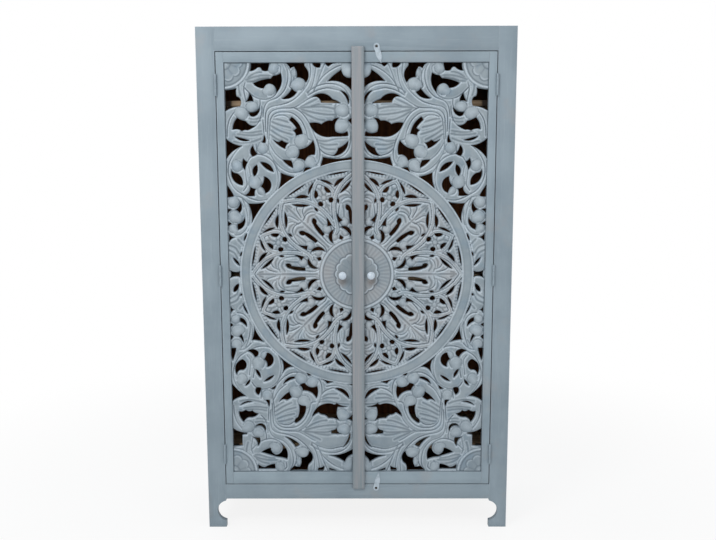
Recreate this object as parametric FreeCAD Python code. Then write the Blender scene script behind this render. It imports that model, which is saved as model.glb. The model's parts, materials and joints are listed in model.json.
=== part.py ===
import FreeCAD, Part
import math
import os

from FreeCAD import Vector

os.makedirs("parts", exist_ok=True)

# Frame: X to the right, Y into the cabinet, Z up, origin under the middle of the footprint.

# Driving dimensions, in millimetres
cabinet_width = 1100
cabinet_height = 1800
carcass_depth = 400
underside_height = 110
running_gap = 0.3
fit_clearance = 0.05
overrun = 5
least_bow = 5

# Face frame
frame_thickness = 20
frame_stile_width = 64
frame_top_rail_height = 81.5
frame_bottom_rail_height = 55
tenon_share = 0.6
tenon_thickness = 7
tenon_shoulder = 12

# Foot shape cut into the lower end of each stile and side foot
foot_toe_height = 25
foot_lip_height = 102
scoop_depth = 32
side_foot_width = 65
foot_block_width = 30
front_block_length = 40
rear_block_lift = 5

# Carcass boards
side_thickness = 18
top_thickness = 18
bottom_thickness = 18
back_thickness = 8
shelf_thickness = 20
shelf_setback = 45
lower_shelf_lift = 141
middle_shelf_drop = 0.75
upper_shelf_drop = 162.5
cleat_width = 18
cleat_height = 22
cleat_setback = 25

# Doors
door_gap = 3
door_thickness = 24
outer_stile_width = 27
meeting_stile_width = 14
door_top_rail_height = 34.5
door_bottom_rail_height = 45
groove_depth = 8
panel_thickness = 10
panel_setback = 8

# Cover strip on the right door
strip_left_edge = -16.5
strip_right_edge = 27
strip_thickness = 12
strip_edge_radius = 3
strip_overlap = 16

# Raised work on the carved panels
disc_raise = 3.5
disc_heart_raise = 5
ring_raise = 4.5
corner_raise = 3

# Butt hinges
hinge_length = 75
lower_hinge_lift = 118
middle_hinge_lift = 1.25
upper_hinge_drop = 114
hinge_leaf_width = 20
hinge_leaf_thickness = 1.3
knuckle_radius = 4
knuckle_count = 3
knuckle_flats = 12
pin_radius = 1.95

# Knobs
knob_offset = 50.5
knob_drop = 3
knob_belly_radius = 13.5
knob_length = 28
knob_flats = 18
knob_base_radius = 8
knob_neck_radius = 5.5
knob_cheek_radius = 10.5
knob_brow_radius = 11.5
knob_face_radius = 6
knob_neck_height = 7
knob_cheek_height = 11
knob_belly_height = 18
knob_brow_height = 24
bolt_radius = 2
bolt_head_width = 8
bolt_head_height = 2.5
bolt_reach = 14

# Turn buttons
button_length = 59
button_head_radius = 11.4
button_tip_radius = 2
button_thickness = 2.5
button_inset = 69
top_button_lift = 15
bottom_button_drop = 12.5
top_button_lean = 16
bottom_button_lean = 10
screw_radius = 2
screw_head_radius = 4.6
screw_head_height = 2.4
screw_reach = 14

# Places that follow from those sizes
half_width = cabinet_width / 2
knob_front = panel_setback - disc_heart_raise - knob_length
total_depth = carcass_depth - knob_front
front_y = -total_depth / 2 - knob_front
back_y = total_depth / 2
carcass_front_y = front_y + frame_thickness
opening_half_width = half_width - frame_stile_width
opening_bottom = underside_height + frame_bottom_rail_height
opening_top = cabinet_height - frame_top_rail_height
opening_middle = (opening_bottom + opening_top) / 2
inner_half_width = half_width - side_thickness
back_front_y = back_y - back_thickness
lower_shelf_top = opening_bottom + lower_shelf_lift
middle_shelf_top = opening_middle - middle_shelf_drop
upper_shelf_top = opening_top - upper_shelf_drop
door_outer_x = opening_half_width - door_gap
door_inner_x = door_gap / 2
door_bottom = opening_bottom + door_gap
door_top = opening_top - door_gap
sight_outer_x = door_outer_x - outer_stile_width
sight_inner_x = door_inner_x + meeting_stile_width
sight_bottom = door_bottom + door_bottom_rail_height
sight_top = door_top - door_top_rail_height
panel_front_y = front_y + panel_setback
panel_back_y = panel_front_y + panel_thickness
mandala_height = (sight_bottom + sight_top) / 2
pivot_x = opening_half_width - door_gap / 2
pivot_y = front_y - knuckle_radius - running_gap
bore_radius = pin_radius + fit_clearance
hinge_centre_heights = (
    opening_bottom + lower_hinge_lift,
    opening_middle + middle_hinge_lift,
    opening_top - upper_hinge_drop,
)

# The carver's squared-up drawing: 44 squares across the panel, 146.8 up it.
# A place is (squares from the hinge side, squares above the middle).
columns_share = 44
half_rows_share = 73.4
square_x = (sight_outer_x - sight_inner_x) / columns_share
square_z = (sight_top - sight_bottom) / (2 * half_rows_share)
mandala_squash_share = 0.975
ring_outer_share = 41.5
ring_inner_share = 37.4
disc_share = 13.2
disc_heart_share = 10.4
corner_share = 8.9

# The large openings have bowed sides: corner, a place on the way, next corner, and so on.
bowed_opening_shares = (
    ((0, 64.2), (2.2, 64.4), (4.1, 64.8), (3.9, 63.4), (4.2, 62), (4.8, 61.8), (5.3, 61.4), (5.6, 60),
     (5.2, 58.7), (2.8, 58.3), (0, 57), (0, 60.5)),
    ((2.5, 50.7), (2.9, 53), (4.1, 54.8), (5.4, 54.1), (7.2, 53.6), (8.6, 52.3), (10.6, 52.1),
     (9.2, 51.2), (7.7, 50.5), (6.8, 50.6), (5.7, 50.2), (4.2, 50.9)),
    ((9.9, 66.5), (12.8, 67.6), (16, 68.1), (16.5, 68.7), (16.9, 69.1), (18.2, 69.3), (19.4, 70),
     (19.7, 66.5), (17.8, 63.2), (17.3, 65.5), (15.5, 66.4), (14.2, 65.8), (13.6, 64.8), (11.8, 65.1)),
    ((21.2, 73.4), (24.5, 73.4), (27.7, 73.4), (27.6, 72.7), (27.9, 72), (29.1, 69.3), (28.1, 66.7),
     (26.9, 68.1), (25, 68.4), (25, 70.2), (24.1, 72), (23.4, 71.8), (22.8, 71.4), (22.2, 72.5)),
    ((35.7, 67.1), (37.9, 69.3), (40.4, 71), (41.4, 68.9), (44, 68.3), (44, 66), (44, 63.9),
     (40.4, 66.7)),
    ((29.2, 52.9), (31.3, 53.1), (33.4, 52.5), (34.8, 53.5), (37.1, 53.7), (38.2, 54.5), (39.5, 54.7),
     (38.1, 52.5), (38.3, 50), (40.2, 49.4), (42.3, 50.1), (42.6, 49.3), (42.6, 48.5), (40, 48.3),
     (37.1, 48.3), (32.2, 49.1)),
    ((30.4, 47), (31.1, 44.6), (30.9, 42), (28.7, 41.6), (27.6, 39.9), (26.2, 40.6), (24.7, 40.8),
     (25.5, 42.3), (25.5, 43.9), (28.4, 44.9)),
    ((7.4, 25.1), (10.4, 25), (13.4, 25.5), (10.7, 22), (8.6, 18), (8.5, 21.7)),
    ((0, -57), (2.4, -58.3), (5.1, -58.8), (5.2, -59.1), (4.8, -59.3), (4, -59.4), (3.4, -59.6),
     (3.4, -61.5), (3.4, -63.6), (1.8, -63.8), (0, -63.8), (0, -60.4)),
    ((10.3, -66.2), (12.1, -65.1), (13.8, -64.5), (14.3, -66.3), (15.7, -67.2), (17.4, -66.4),
     (17.7, -62.9), (19.7, -65.6), (19.7, -68.9), (17.9, -68.3), (15.8, -68), (13, -67.1)),
    ((24.8, -68.2), (26, -68.2), (27.1, -67.7), (27.6, -66.8), (27.9, -65.8), (29.1, -68.8),
     (27.7, -70.8), (27.3, -72), (27.4, -73.4), (24, -73.4), (20.7, -73.4), (21.5, -72.3),
     (22.5, -71.5), (23.4, -71.8), (24.4, -71.7), (25, -70)),
    ((29.2, -52.6), (31.4, -49), (36.6, -47.9), (37.4, -48.1), (38, -47.6), (39.8, -48.5),
     (41.9, -48.9), (40.1, -49.1), (38.5, -49.1), (38.1, -51.6), (39.1, -54.1), (37.1, -53.4),
     (35, -53.3), (34.2, -52.4), (33.4, -52), (32.3, -51.8), (31.5, -51.1), (30.3, -51.8)),
)
# The small openings are chip cuts with straight sides.
chip_opening_shares = (
    ((0, 47.6), (2.4, 46), (5.6, 45.1), (2.4, 43.3), (0, 40.6)),
    ((9.2, 73.4), (15.6, 73.4), (15, 70.7), (14, 70.6), (13, 70.9), (12.1, 71.9), (11.2, 71.5),
     (10, 70.8), (8.8, 70.6), (9.2, 72)),
    ((30.1, 61.7), (33.8, 63), (37.2, 61.1), (38.6, 60.6), (40, 59.7), (33.3, 59.9), (32.3, 61.6)),
    ((33.8, 41.2), (38.8, 40.6), (44, 41.3), (44, 40.3), (38.1, 39.5), (32.8, 38)),
    ((0, -40.2), (2.4, -42.8), (5.1, -44.9), (2.4, -45.4), (0, -46.8)),
    ((24.7, -40.9), (25.5, -40.3), (26.5, -40), (28.3, -41.5), (31, -41.2), (31.3, -43.6),
     (30.7, -45.8), (28.8, -43.6), (25.9, -42.9), (25.5, -41.8)),
    ((2.4, -50.6), (3.7, -50.7), (4.8, -50.1), (5.9, -50.6), (7.3, -50.3), (8.2, -51.1), (9.5, -51.5),
     (8, -52.7), (6.2, -52.9), (4.9, -53.5), (4.1, -54.7), (2.8, -52.9)),
    ((35.3, -67.4), (40, -66.9), (44, -65), (44, -67.1), (42, -68.2), (41, -70), (38.3, -68.4)),
    ((8.3, 56.7), (10.6, 57), (12, 58.3), (11.7, 56.6), (10.4, 55.4), (9.1, 55.3)),
    ((9.5, 45.3), (9.9, 43.9), (10.9, 42.4), (10.1, 41.8), (9.2, 41.5), (8.5, 43.5)),
    ((19.8, 61.3), (21.8, 62.8), (23.3, 64.7), (24.1, 63.9), (25, 63.5), (22.9, 61.6)),
    ((22.3, 53.9), (23.1, 55), (25.6, 52.5), (26.8, 49.2), (24.5, 48.6), (24.3, 49.6), (23.6, 50.3),
     (24.7, 51.2), (23.7, 52.6)),
    ((16.5, 47.3), (17.6, 46.7), (18.6, 46.5), (19.6, 47.1), (20.6, 46.4), (21.8, 46.1), (21, 45.2),
     (20.7, 44.1), (18.4, 45.4)),
    ((19.8, 40.3), (22.7, 40), (23.2, 38.7), (23.3, 37.5), (21.3, 38.7)),
    ((42.7, 46.7), (41.2, 43.2), (37.1, 41.7), (38.6, 42.9), (39.1, 44.3), (40.9, 45.2)),
    ((19, 35.8), (21.3, 34.9), (23.9, 34.3), (20.6, 32.2), (18, 29.9), (18.9, 32.8)),
    ((11.9, 39.5), (14.9, 38.7), (16.5, 36.1), (13.8, 37.4)),
    ((1.8, 36.9), (2.4, 36), (3.5, 35.7), (5.2, 34.2), (5.6, 31.5), (2.6, 33)),
    ((13.1, 34.5), (15.4, 32.6), (13.4, 28.7), (13, 30), (11.9, 31.1), (12.9, 32.7)),
    ((8.2, 30.9), (9.1, 30.4), (10.1, 30.2), (9.7, 29), (9.8, 27.8), (8, 27.7), (6.2, 28), (7.6, 29)),
    ((0, 31.5), (1.3, 29.7), (2.4, 27.7), (1.2, 27.4), (0, 27.4)),
    ((6, 20.1), (5.8, 17.5), (3.6, 15.8), (3.4, 17.8), (5, 18.6)),
    ((0.4, 1.4), (2.2, 0.7), (4.1, 1.1), (3.8, 0), (4.1, -1.1), (2.2, -0.8), (0.4, -1.4), (0.7, 0)),
    ((0, -27), (1.9, -27), (1.4, -29.3), (0.6, -31.5), (0, -29.3)),
    ((8.6, -19.2), (9.9, -22.2), (12, -24.8), (9.9, -24.2), (7.7, -24), (8.4, -21.7)),
    ((6, -28.1), (8.2, -27.5), (9.8, -28.3), (9.7, -29.7), (8.6, -30.4), (7.6, -29)),
    ((13, -28.7), (15.3, -31.8), (13, -34), (12.9, -32.4), (11.9, -31.2), (12.6, -30)),
    ((2, -36.9), (1.5, -33.8), (4.1, -31.2), (5.5, -33), (4.2, -35.2), (2.9, -35.3)),
    ((17.7, -30.4), (20, -32.3), (22.5, -33.9), (20.2, -34.5), (18.6, -36.2), (18.9, -33.2)),
    ((20.9, -43.3), (21.2, -44.4), (21.8, -45.3), (19.9, -46.5), (18.6, -46.2), (17.1, -47.1),
     (18.8, -44.9)),
    ((9.1, -70.9), (10.2, -71.7), (11.6, -72), (13.3, -71.1), (15.1, -70.7), (15.3, -71.6),
     (15.2, -72.6), (9.2, -72.6)),
    ((19.2, -60.3), (22.1, -61.4), (24.4, -63.3), (23.7, -63.9), (22.8, -64.2), (21.4, -62.2)),
    ((24.4, -48), (25.6, -48.5), (26.8, -48.6), (26.1, -52.3), (23.6, -54.9), (22.9, -55),
     (22.7, -54.4), (23.1, -53.5), (23.9, -52.9), (24.5, -50.5)),
    ((37.5, -42.1), (41, -42.7), (42.7, -45.9), (40.4, -43.9)),
    ((36.2, -58), (37.3, -57.7), (38, -57.1), (38.6, -58.6), (40, -59.2), (38.1, -59.3), (36.2, -59.1),
     (36, -58.6)),
)
# Chip cuts of the round medallion, from its middle: (out along an axis, across it).
arch_axis_opening_shares = (
    ((25.3, 3.4), (24.3, 3.9), (18.4, 2.3), (18.4, 1.2), (21.3, 1.3), (24.9, 2.5)),
    ((22, 7), (18.8, 6.3), (19.7, 5), (20.9, 5.9)),
    ((31.7, 7.9), (33.9, 6.8), (34.8, 4.3), (33, 6)),
    ((17.2, 5.7), (17, 3), (13.9, 2.1), (15.9, 3.6)),
)
kite_axis_opening_shares = (
    ((33.8, 1.8), (32.1, 2.9), (31, 2.5), (32.2, 1.4)),
)
sector_count = 8


def save(node, shape):
    """Write one node to its own file."""
    shape.exportStep("parts/" + node + ".step")


def box(x0, x1, y0, y1, z0, z1):
    """A board given by its six faces."""
    corner = Vector(min(x0, x1), min(y0, y1), min(z0, z1))
    return Part.makeBox(abs(x1 - x0), abs(y1 - y0), abs(z1 - z0), corner)


def mirrored(shape):
    """The same piece on the right-hand side."""
    return shape.mirror(Vector(0, 0, 0), Vector(1, 0, 0))


def arc_or_line(start, through, end):
    """One side of an outline: an arc where its middle place is off the straight line."""
    chord = end - start
    bow = chord.cross(through - start).Length / chord.Length
    if bow < least_bow:
        return Part.LineSegment(start, end).toShape()
    return Part.Arc(start, through, end).toShape()


def outline_face(places):
    """A flat face bounded by arcs: corner, place on the way, corner, and so on."""
    count = len(places)
    edges = [
        arc_or_line(places[i], places[i + 1], places[(i + 2) % count])
        for i in range(0, count, 2)
    ]
    return Part.Face(Part.Wire(edges))


def chip_face(places):
    """A flat face with straight sides."""
    return Part.Face(Part.makePolygon(places + places[:1]))


def drilled_rod(radius, bore, y0, y1, x, z):
    """A round bar along Y, hollow when it has a bore."""
    rod = Part.makeCylinder(radius, y1 - y0, Vector(x, y0, z), Vector(0, 1, 0))
    if bore:
        rod = rod.cut(Part.makeCylinder(bore, y1 - y0, Vector(x, y0, z), Vector(0, 1, 0)))
    return rod


# Face frame: stiles run to the floor, rails are tenoned between them

def foot_scoop(inner_edge, outward, place):
    """The C-shaped bite above the toe. place turns (distance along, height) into a point."""
    deepest = inner_edge + outward * scoop_depth
    beyond = inner_edge - outward * overrun
    middle_height = (foot_toe_height + foot_lip_height) / 2
    lip = place(inner_edge, foot_lip_height)
    toe = place(inner_edge, foot_toe_height)
    bite = Part.Arc(lip, place(deepest, middle_height), toe).toShape()
    corners = [toe, place(beyond, foot_toe_height), place(beyond, foot_lip_height), lip]
    return Part.Face(Part.Wire([bite] + [
        Part.LineSegment(corners[i], corners[i + 1]).toShape() for i in range(len(corners) - 1)
    ]))


def rail_tenon(z0, z1):
    """The tongue at both ends of a face frame rail, and the shape of its mortises."""
    reach = opening_half_width + tenon_share * frame_stile_width
    middle_y = front_y + frame_thickness / 2
    half = tenon_thickness / 2
    return box(-reach, reach, middle_y - half, middle_y + half, z0 + tenon_shoulder, z1 - tenon_shoulder)


def leaf_mortise(side_x, into, centre):
    """The shallow seat of one hinge leaf in an edge, open at the front."""
    return box(side_x, side_x + into * hinge_leaf_thickness,
               front_y - overrun, front_y + hinge_leaf_width,
               centre - hinge_length / 2, centre + hinge_length / 2)


def make_face_frame():
    top_tenon = rail_tenon(opening_top, cabinet_height)
    bottom_tenon = rail_tenon(underside_height, opening_bottom)
    stile = box(-half_width, -opening_half_width, front_y, carcass_front_y, 0, cabinet_height)
    scoop = foot_scoop(-opening_half_width, -1, lambda x, z: Vector(x, front_y - overrun, z))
    stile = stile.cut(scoop.extrude(Vector(0, frame_thickness + 2 * overrun, 0)))
    stile = stile.cut([top_tenon, bottom_tenon])
    stile = stile.cut([leaf_mortise(-opening_half_width, -1, z) for z in hinge_centre_heights])
    save("left_frame_stile", stile)
    save("right_frame_stile", mirrored(stile))

    top_rail = box(-opening_half_width, opening_half_width, front_y, carcass_front_y,
                   opening_top, cabinet_height).fuse(top_tenon)
    top_rail = top_rail.cut(drilled_rod(screw_radius + fit_clearance, 0, front_y - overrun,
                                        front_y + screw_reach, button_inset,
                                        opening_top + top_button_lift))
    save("frame_top_rail", top_rail.removeSplitter())

    bottom_rail = box(-opening_half_width, opening_half_width, front_y, carcass_front_y,
                      underside_height, opening_bottom).fuse(bottom_tenon)
    bottom_rail = bottom_rail.cut(drilled_rod(screw_radius + fit_clearance, 0, front_y - overrun,
                                              front_y + screw_reach, button_inset,
                                              opening_bottom - bottom_button_drop))
    save("frame_bottom_rail", bottom_rail.removeSplitter())


# Carcass: plain boards, shelves on cleats, scooped side feet

def make_carcass():
    side = box(-half_width, -inner_half_width, carcass_front_y, back_y,
               underside_height, cabinet_height - top_thickness)
    save("left_side_panel", side)
    save("right_side_panel", mirrored(side))
    save("top_panel", box(-half_width, half_width, carcass_front_y, back_y,
                          cabinet_height - top_thickness, cabinet_height))
    save("bottom_panel", box(-inner_half_width, inner_half_width, carcass_front_y, back_front_y,
                             opening_bottom - bottom_thickness, opening_bottom))
    save("back_panel", box(-inner_half_width, inner_half_width, back_front_y, back_y,
                           underside_height, cabinet_height - top_thickness))


def make_shelves():
    shelf_front_y = front_y + shelf_setback
    heights = (("lower", lower_shelf_top), ("middle", middle_shelf_top), ("upper", upper_shelf_top))
    for name, top in heights:
        under = top - shelf_thickness
        save(name + "_shelf", box(-inner_half_width, inner_half_width, shelf_front_y, back_front_y,
                                  under, top))
        cleat = box(-inner_half_width, cleat_width - inner_half_width,
                    shelf_front_y + cleat_setback, back_front_y, under - cleat_height, under)
        save(name + "_shelf_cleats", Part.makeCompound([cleat, mirrored(cleat)]))


def make_feet():
    def place(y, z):
        return Vector(-half_width - overrun, y, z)

    through = Vector(side_thickness + 2 * overrun, 0, 0)
    front_end = front_y + side_foot_width
    front_foot = box(-half_width, -inner_half_width, carcass_front_y, front_end, 0, underside_height)
    front_foot = front_foot.cut(foot_scoop(front_end, -1, place).extrude(through))
    rear_start = back_y - side_foot_width
    rear_foot = box(-half_width, -inner_half_width, rear_start, back_y, 0, underside_height)
    rear_foot = rear_foot.cut(foot_scoop(rear_start, 1, place).extrude(through))
    save("front_side_feet", Part.makeCompound([front_foot, mirrored(front_foot)]))
    save("rear_side_feet", Part.makeCompound([rear_foot, mirrored(rear_foot)]))

    block_top = opening_bottom - bottom_thickness
    block_inner_x = foot_block_width - inner_half_width
    front_block = box(-inner_half_width, block_inner_x,
                      carcass_front_y, carcass_front_y + foot_block_width,
                      block_top - front_block_length, block_top)
    rear_block = box(-inner_half_width, block_inner_x, back_front_y - foot_block_width,
                     back_front_y, rear_block_lift, block_top)
    blocks = [front_block, rear_block, mirrored(front_block), mirrored(rear_block)]
    save("foot_blocks", Part.makeCompound(blocks))


# Doors: grooved stiles, rails with stub tenons, a pierced carved panel held in the grooves

def door_groove():
    """The board-shaped space that the panel and the stub tenons fill, over the whole door."""
    return box(-sight_outer_x - groove_depth, -sight_inner_x + groove_depth,
               panel_front_y, panel_back_y, door_bottom, door_top)


def make_door_frame():
    back = front_y + door_thickness
    groove = door_groove()
    outer = box(-door_outer_x, -sight_outer_x, front_y, back, door_bottom, door_top).cut(groove)
    outer = outer.cut([leaf_mortise(-door_outer_x, 1, z) for z in hinge_centre_heights])
    meeting = box(-sight_inner_x, -door_inner_x, front_y, back, door_bottom, door_top).cut(groove)
    panel_slot = box(-sight_outer_x, -sight_inner_x, panel_front_y, panel_back_y,
                     sight_bottom - groove_depth, sight_top + groove_depth)

    def rail(z0, z1):
        board = box(-sight_outer_x, -sight_inner_x, front_y, back, z0, z1)
        tenons = box(-sight_outer_x - groove_depth, -sight_inner_x + groove_depth,
                     panel_front_y, panel_back_y, z0, z1)
        wide_slot = panel_slot.fuse([
            box(-sight_outer_x - groove_depth, -sight_outer_x, panel_front_y, panel_back_y,
                sight_bottom - groove_depth, sight_top + groove_depth),
            box(-sight_inner_x, groove_depth - sight_inner_x, panel_front_y, panel_back_y,
                sight_bottom - groove_depth, sight_top + groove_depth),
        ])
        return board.fuse(tenons).cut(wide_slot).removeSplitter()

    pieces = {
        "outer_stile": outer,
        "meeting_stile": meeting,
        "top_rail": rail(sight_top, door_top),
        "bottom_rail": rail(door_bottom, sight_bottom),
    }
    for name, piece in pieces.items():
        save("left_door_" + name, piece)
        save("right_door_" + name, mirrored(piece))


def on_panel(across, up):
    """A place on the carver's squares, on the front of the left panel's ground."""
    return Vector(across * square_x - sight_outer_x, panel_front_y, mandala_height + up * square_z)


def on_medallion(out, across, angle, side):
    """A place given along and across one axis of the medallion."""
    direction = math.radians(angle)
    x = out * math.cos(direction) - side * across * math.sin(direction)
    z = out * math.sin(direction) + side * across * math.cos(direction)
    return Vector(x * square_x, panel_front_y, mandala_height + z * square_z * mandala_squash_share)


def medallion_disc(share):
    """A flat oval face about the middle of the medallion."""
    centre = Vector(0, panel_front_y, mandala_height)
    half_x = share * square_x
    half_z = share * square_z * mandala_squash_share
    side = Vector(half_x, panel_front_y, mandala_height)
    top = Vector(0, panel_front_y, mandala_height + half_z)
    longer, shorter = (side, top) if half_x >= half_z else (top, side)
    return Part.Face(Part.Wire(Part.Ellipse(longer, shorter, centre).toShape()))


def corner_disc(share, z):
    """A round face about a corner of the panel."""
    centre = Vector(-sight_outer_x, panel_front_y, z)
    return Part.Face(Part.Wire(Part.Circle(centre, Vector(0, 1, 0), share * square_x).toShape()))


def panel_openings():
    """Every pierced shape of the left panel, as flat faces."""
    faces = [outline_face([on_panel(u, v) for u, v in shape]) for shape in bowed_opening_shares]
    faces += [chip_face([on_panel(u, v) for u, v in shape]) for shape in chip_opening_shares]
    step = 360 / sector_count
    for i in range(sector_count + 1):
        angle = 90 + i * step / 2
        shapes = arch_axis_opening_shares if i % 2 == 0 else kite_axis_opening_shares
        for side in (1, -1):
            on_left = (i > 0 or side > 0) and (i < sector_count or side < 0)
            if on_left:
                for shape in shapes:
                    faces.append(chip_face([on_medallion(u, v, angle, side) for u, v in shape]))
    return faces


def make_carved_panels():
    sight = outline_face([
        on_panel(0, -half_rows_share), on_panel(0, 0), on_panel(0, half_rows_share),
        on_panel(columns_share / 2, half_rows_share), on_panel(columns_share, half_rows_share),
        on_panel(columns_share, 0), on_panel(columns_share, -half_rows_share),
        on_panel(columns_share / 2, -half_rows_share),
    ])
    openings = panel_openings()
    board = box(-sight_outer_x - groove_depth, groove_depth - sight_inner_x,
                panel_front_y, panel_back_y,
                sight_bottom - groove_depth, sight_top + groove_depth)
    pierced = sight.cut(openings).extrude(Vector(0, panel_thickness, 0))
    margin = board.cut(sight.extrude(Vector(0, panel_thickness, 0)))

    ring = medallion_disc(ring_outer_share).cut(medallion_disc(ring_inner_share))
    raised = [
        (ring, ring_raise),
        (medallion_disc(disc_share), disc_raise),
        (medallion_disc(disc_heart_share), disc_heart_raise),
        (corner_disc(corner_share, sight_bottom), corner_raise),
        (corner_disc(corner_share, sight_top), corner_raise),
    ]
    relief = [
        face.common(sight).cut(openings).extrude(Vector(0, -height, 0)) for face, height in raised
    ]

    panel = pierced.fuse([margin] + relief).removeSplitter()
    panel = panel.cut(drilled_rod(bolt_radius + fit_clearance, 0, front_y - overrun,
                                  panel_back_y + overrun, -knob_offset, mandala_height - knob_drop))
    save("left_carved_panel", panel)
    save("right_carved_panel", mirrored(panel))


def make_cover_strip():
    """The rounded strip on the right door that also laps over the left one."""
    back = front_y - running_gap
    front = back - strip_thickness
    r = strip_edge_radius
    bend = r * (1 - math.sqrt(0.5))
    z = opening_bottom - strip_overlap + door_gap / 2

    def at(x, y):
        return Vector(x, y, z)

    left, right = strip_left_edge, strip_right_edge
    section = outline_face([
        at(left, back), at(left, (back + front + r) / 2),
        at(left, front + r), at(left + bend, front + bend),
        at(left + r, front), at((left + right) / 2, front),
        at(right - r, front), at(right - bend, front + bend),
        at(right, front + r), at(right, (back + front + r) / 2),
        at(right, back), at((left + right) / 2, back),
    ])
    height = opening_top + strip_overlap - door_gap / 2 - z
    strip = section.extrude(Vector(0, 0, height))
    glue_land = box(door_inner_x, sight_inner_x, back, front_y, door_bottom, door_top)
    save("cover_strip", strip.fuse(glue_land).removeSplitter())


# Hinges: three on each door, the pin staked in the outer knuckles of the frame leaf

def knuckle_spans(first, centre):
    """The height ranges of every second knuckle, starting from the given one."""
    pitch = hinge_length / knuckle_count
    bottom = centre - hinge_length / 2
    spans = []
    for i in range(first, knuckle_count, 2):
        low = bottom + i * pitch + (running_gap / 2 if i > 0 else 0)
        high = bottom + (i + 1) * pitch - (running_gap / 2 if i < knuckle_count - 1 else 0)
        spans.append((low, high))
    return spans


def knuckle(z0, z1):
    """A strip end rolled round the pin, worked to a many-sided barrel."""
    turn = 2 * math.pi / knuckle_flats
    ring = [
        Vector(knuckle_radius * math.cos(turn * (i + 0.5)) - pivot_x,
               knuckle_radius * math.sin(turn * (i + 0.5)) + pivot_y, z0)
        for i in range(knuckle_flats)
    ]
    return chip_face(ring).extrude(Vector(0, 0, z1 - z0))


def hinge_leaf(first, centre, edge_x, into):
    """One leaf with its knuckles."""
    plate_x = edge_x + into * hinge_leaf_thickness
    leaf = box(edge_x, plate_x, front_y, front_y + hinge_leaf_width,
               centre - hinge_length / 2, centre + hinge_length / 2)
    spans = knuckle_spans(first, centre)
    barrels = [knuckle(z0, z1) for z0, z1 in spans]
    webs = [box(edge_x, plate_x, pivot_y, front_y, z0, z1) for z0, z1 in spans]
    return leaf.fuse(barrels + webs)


def hinge_rod(radius, centre):
    """A round rod on the hinge line, as long as the hinge."""
    return Part.makeCylinder(radius, hinge_length,
                             Vector(-pivot_x, pivot_y, centre - hinge_length / 2))


def make_hinges():
    frame_leaves = []
    door_leaves = []
    for z in hinge_centre_heights:
        staked = hinge_leaf(0, z, -opening_half_width, -1).fuse(hinge_rod(pin_radius, z))
        bored = hinge_leaf(1, z, -door_outer_x, 1).cut(hinge_rod(bore_radius, z))
        frame_leaves.append(staked.removeSplitter())
        door_leaves.append(bored.removeSplitter())
    for name, pieces in (("frame", frame_leaves), ("door", door_leaves)):
        save("left_hinge_" + name + "_leaves", Part.makeCompound(pieces))
        save("right_hinge_" + name + "_leaves",
             Part.makeCompound([mirrored(piece) for piece in pieces]))


# Knobs, turned from one piece each and bolted through the panel

def make_knobs():
    seat_y = panel_front_y - disc_heart_raise
    z = mandala_height - knob_drop

    def ring(radius, height):
        turn = 2 * math.pi / knob_flats
        return [
            Vector(radius * math.cos(turn * i) - knob_offset, seat_y - height,
                   radius * math.sin(turn * i) + z)
            for i in range(knob_flats)
        ]

    rings = [
        ring(knob_base_radius, 0), ring(knob_neck_radius, knob_neck_height),
        ring(knob_cheek_radius, knob_cheek_height), ring(knob_belly_radius, knob_belly_height),
        ring(knob_brow_radius, knob_brow_height), ring(knob_face_radius, knob_length),
    ]
    faces = [chip_face(rings[0]), chip_face(rings[-1])]
    for low, high in zip(rings, rings[1:]):
        faces += [
            chip_face([low[i - 1], low[i], high[i], high[i - 1]]) for i in range(knob_flats)
        ]
    shell = Part.Shell(faces)
    shell.sewShape()
    turned = Part.Solid(shell)
    knob = turned.cut(drilled_rod(bolt_radius + fit_clearance, 0, seat_y - bolt_reach,
                                  seat_y + overrun, -knob_offset, z))
    shank = drilled_rod(bolt_radius, 0, seat_y - bolt_reach + running_gap, panel_back_y,
                        -knob_offset, z)
    half = bolt_head_width / 2
    head = box(-knob_offset - half, half - knob_offset, panel_back_y,
               panel_back_y + bolt_head_height, z - half, z + half)
    bolt = shank.fuse(head)
    save("left_knob", knob)
    save("right_knob", mirrored(knob))
    save("left_knob_bolt", bolt)
    save("right_knob_bolt", mirrored(bolt))


# Turn buttons: drop-shaped plates, each on one screw in the face frame

def turn_button(x, z, direction):
    """A plate from a round head to a narrow tip, lying the given way in the front plane."""
    back = front_y - running_gap
    lean = math.asin((button_head_radius - button_tip_radius) / button_length)

    def at(distance, radius, turn):
        angle = direction + turn
        return Vector(x + distance * math.cos(direction) + radius * math.cos(angle),
                      back, z + distance * math.sin(direction) + radius * math.sin(angle))

    side = math.pi / 2 - lean
    head, tip = button_head_radius, button_tip_radius
    plate = outline_face([
        at(0, head, side), at(0, head, math.pi), at(0, head, -side),
        (at(0, head, -side) + at(button_length, tip, -side)) / 2,
        at(button_length, tip, -side), at(button_length, tip, 0), at(button_length, tip, side),
        (at(0, head, side) + at(button_length, tip, side)) / 2,
    ])
    plate = plate.extrude(Vector(0, -button_thickness, 0))
    hole = drilled_rod(screw_radius + fit_clearance, 0, back - button_thickness - overrun,
                       back + overrun, x, z)
    return plate.cut(hole)


def button_screw(x, z):
    """A round-headed screw that leaves the button free to turn."""
    head_y = front_y - running_gap - button_thickness - running_gap
    shank = drilled_rod(screw_radius, 0, head_y, front_y + screw_reach - running_gap, x, z)
    head = drilled_rod(screw_head_radius, 0, head_y - screw_head_height, head_y, x, z)
    return shank.fuse(head).removeSplitter()


def make_turn_buttons():
    top_z = opening_top + top_button_lift
    bottom_z = opening_bottom - bottom_button_drop
    top_direction = math.radians(top_button_lean - 90)
    bottom_direction = math.radians(90 - bottom_button_lean)
    save("top_turn_button", turn_button(button_inset, top_z, top_direction))
    save("bottom_turn_button", turn_button(button_inset, bottom_z, bottom_direction))
    screws = [button_screw(button_inset, z) for z in (top_z, bottom_z)]
    save("turn_button_screws", Part.makeCompound(screws))


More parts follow.
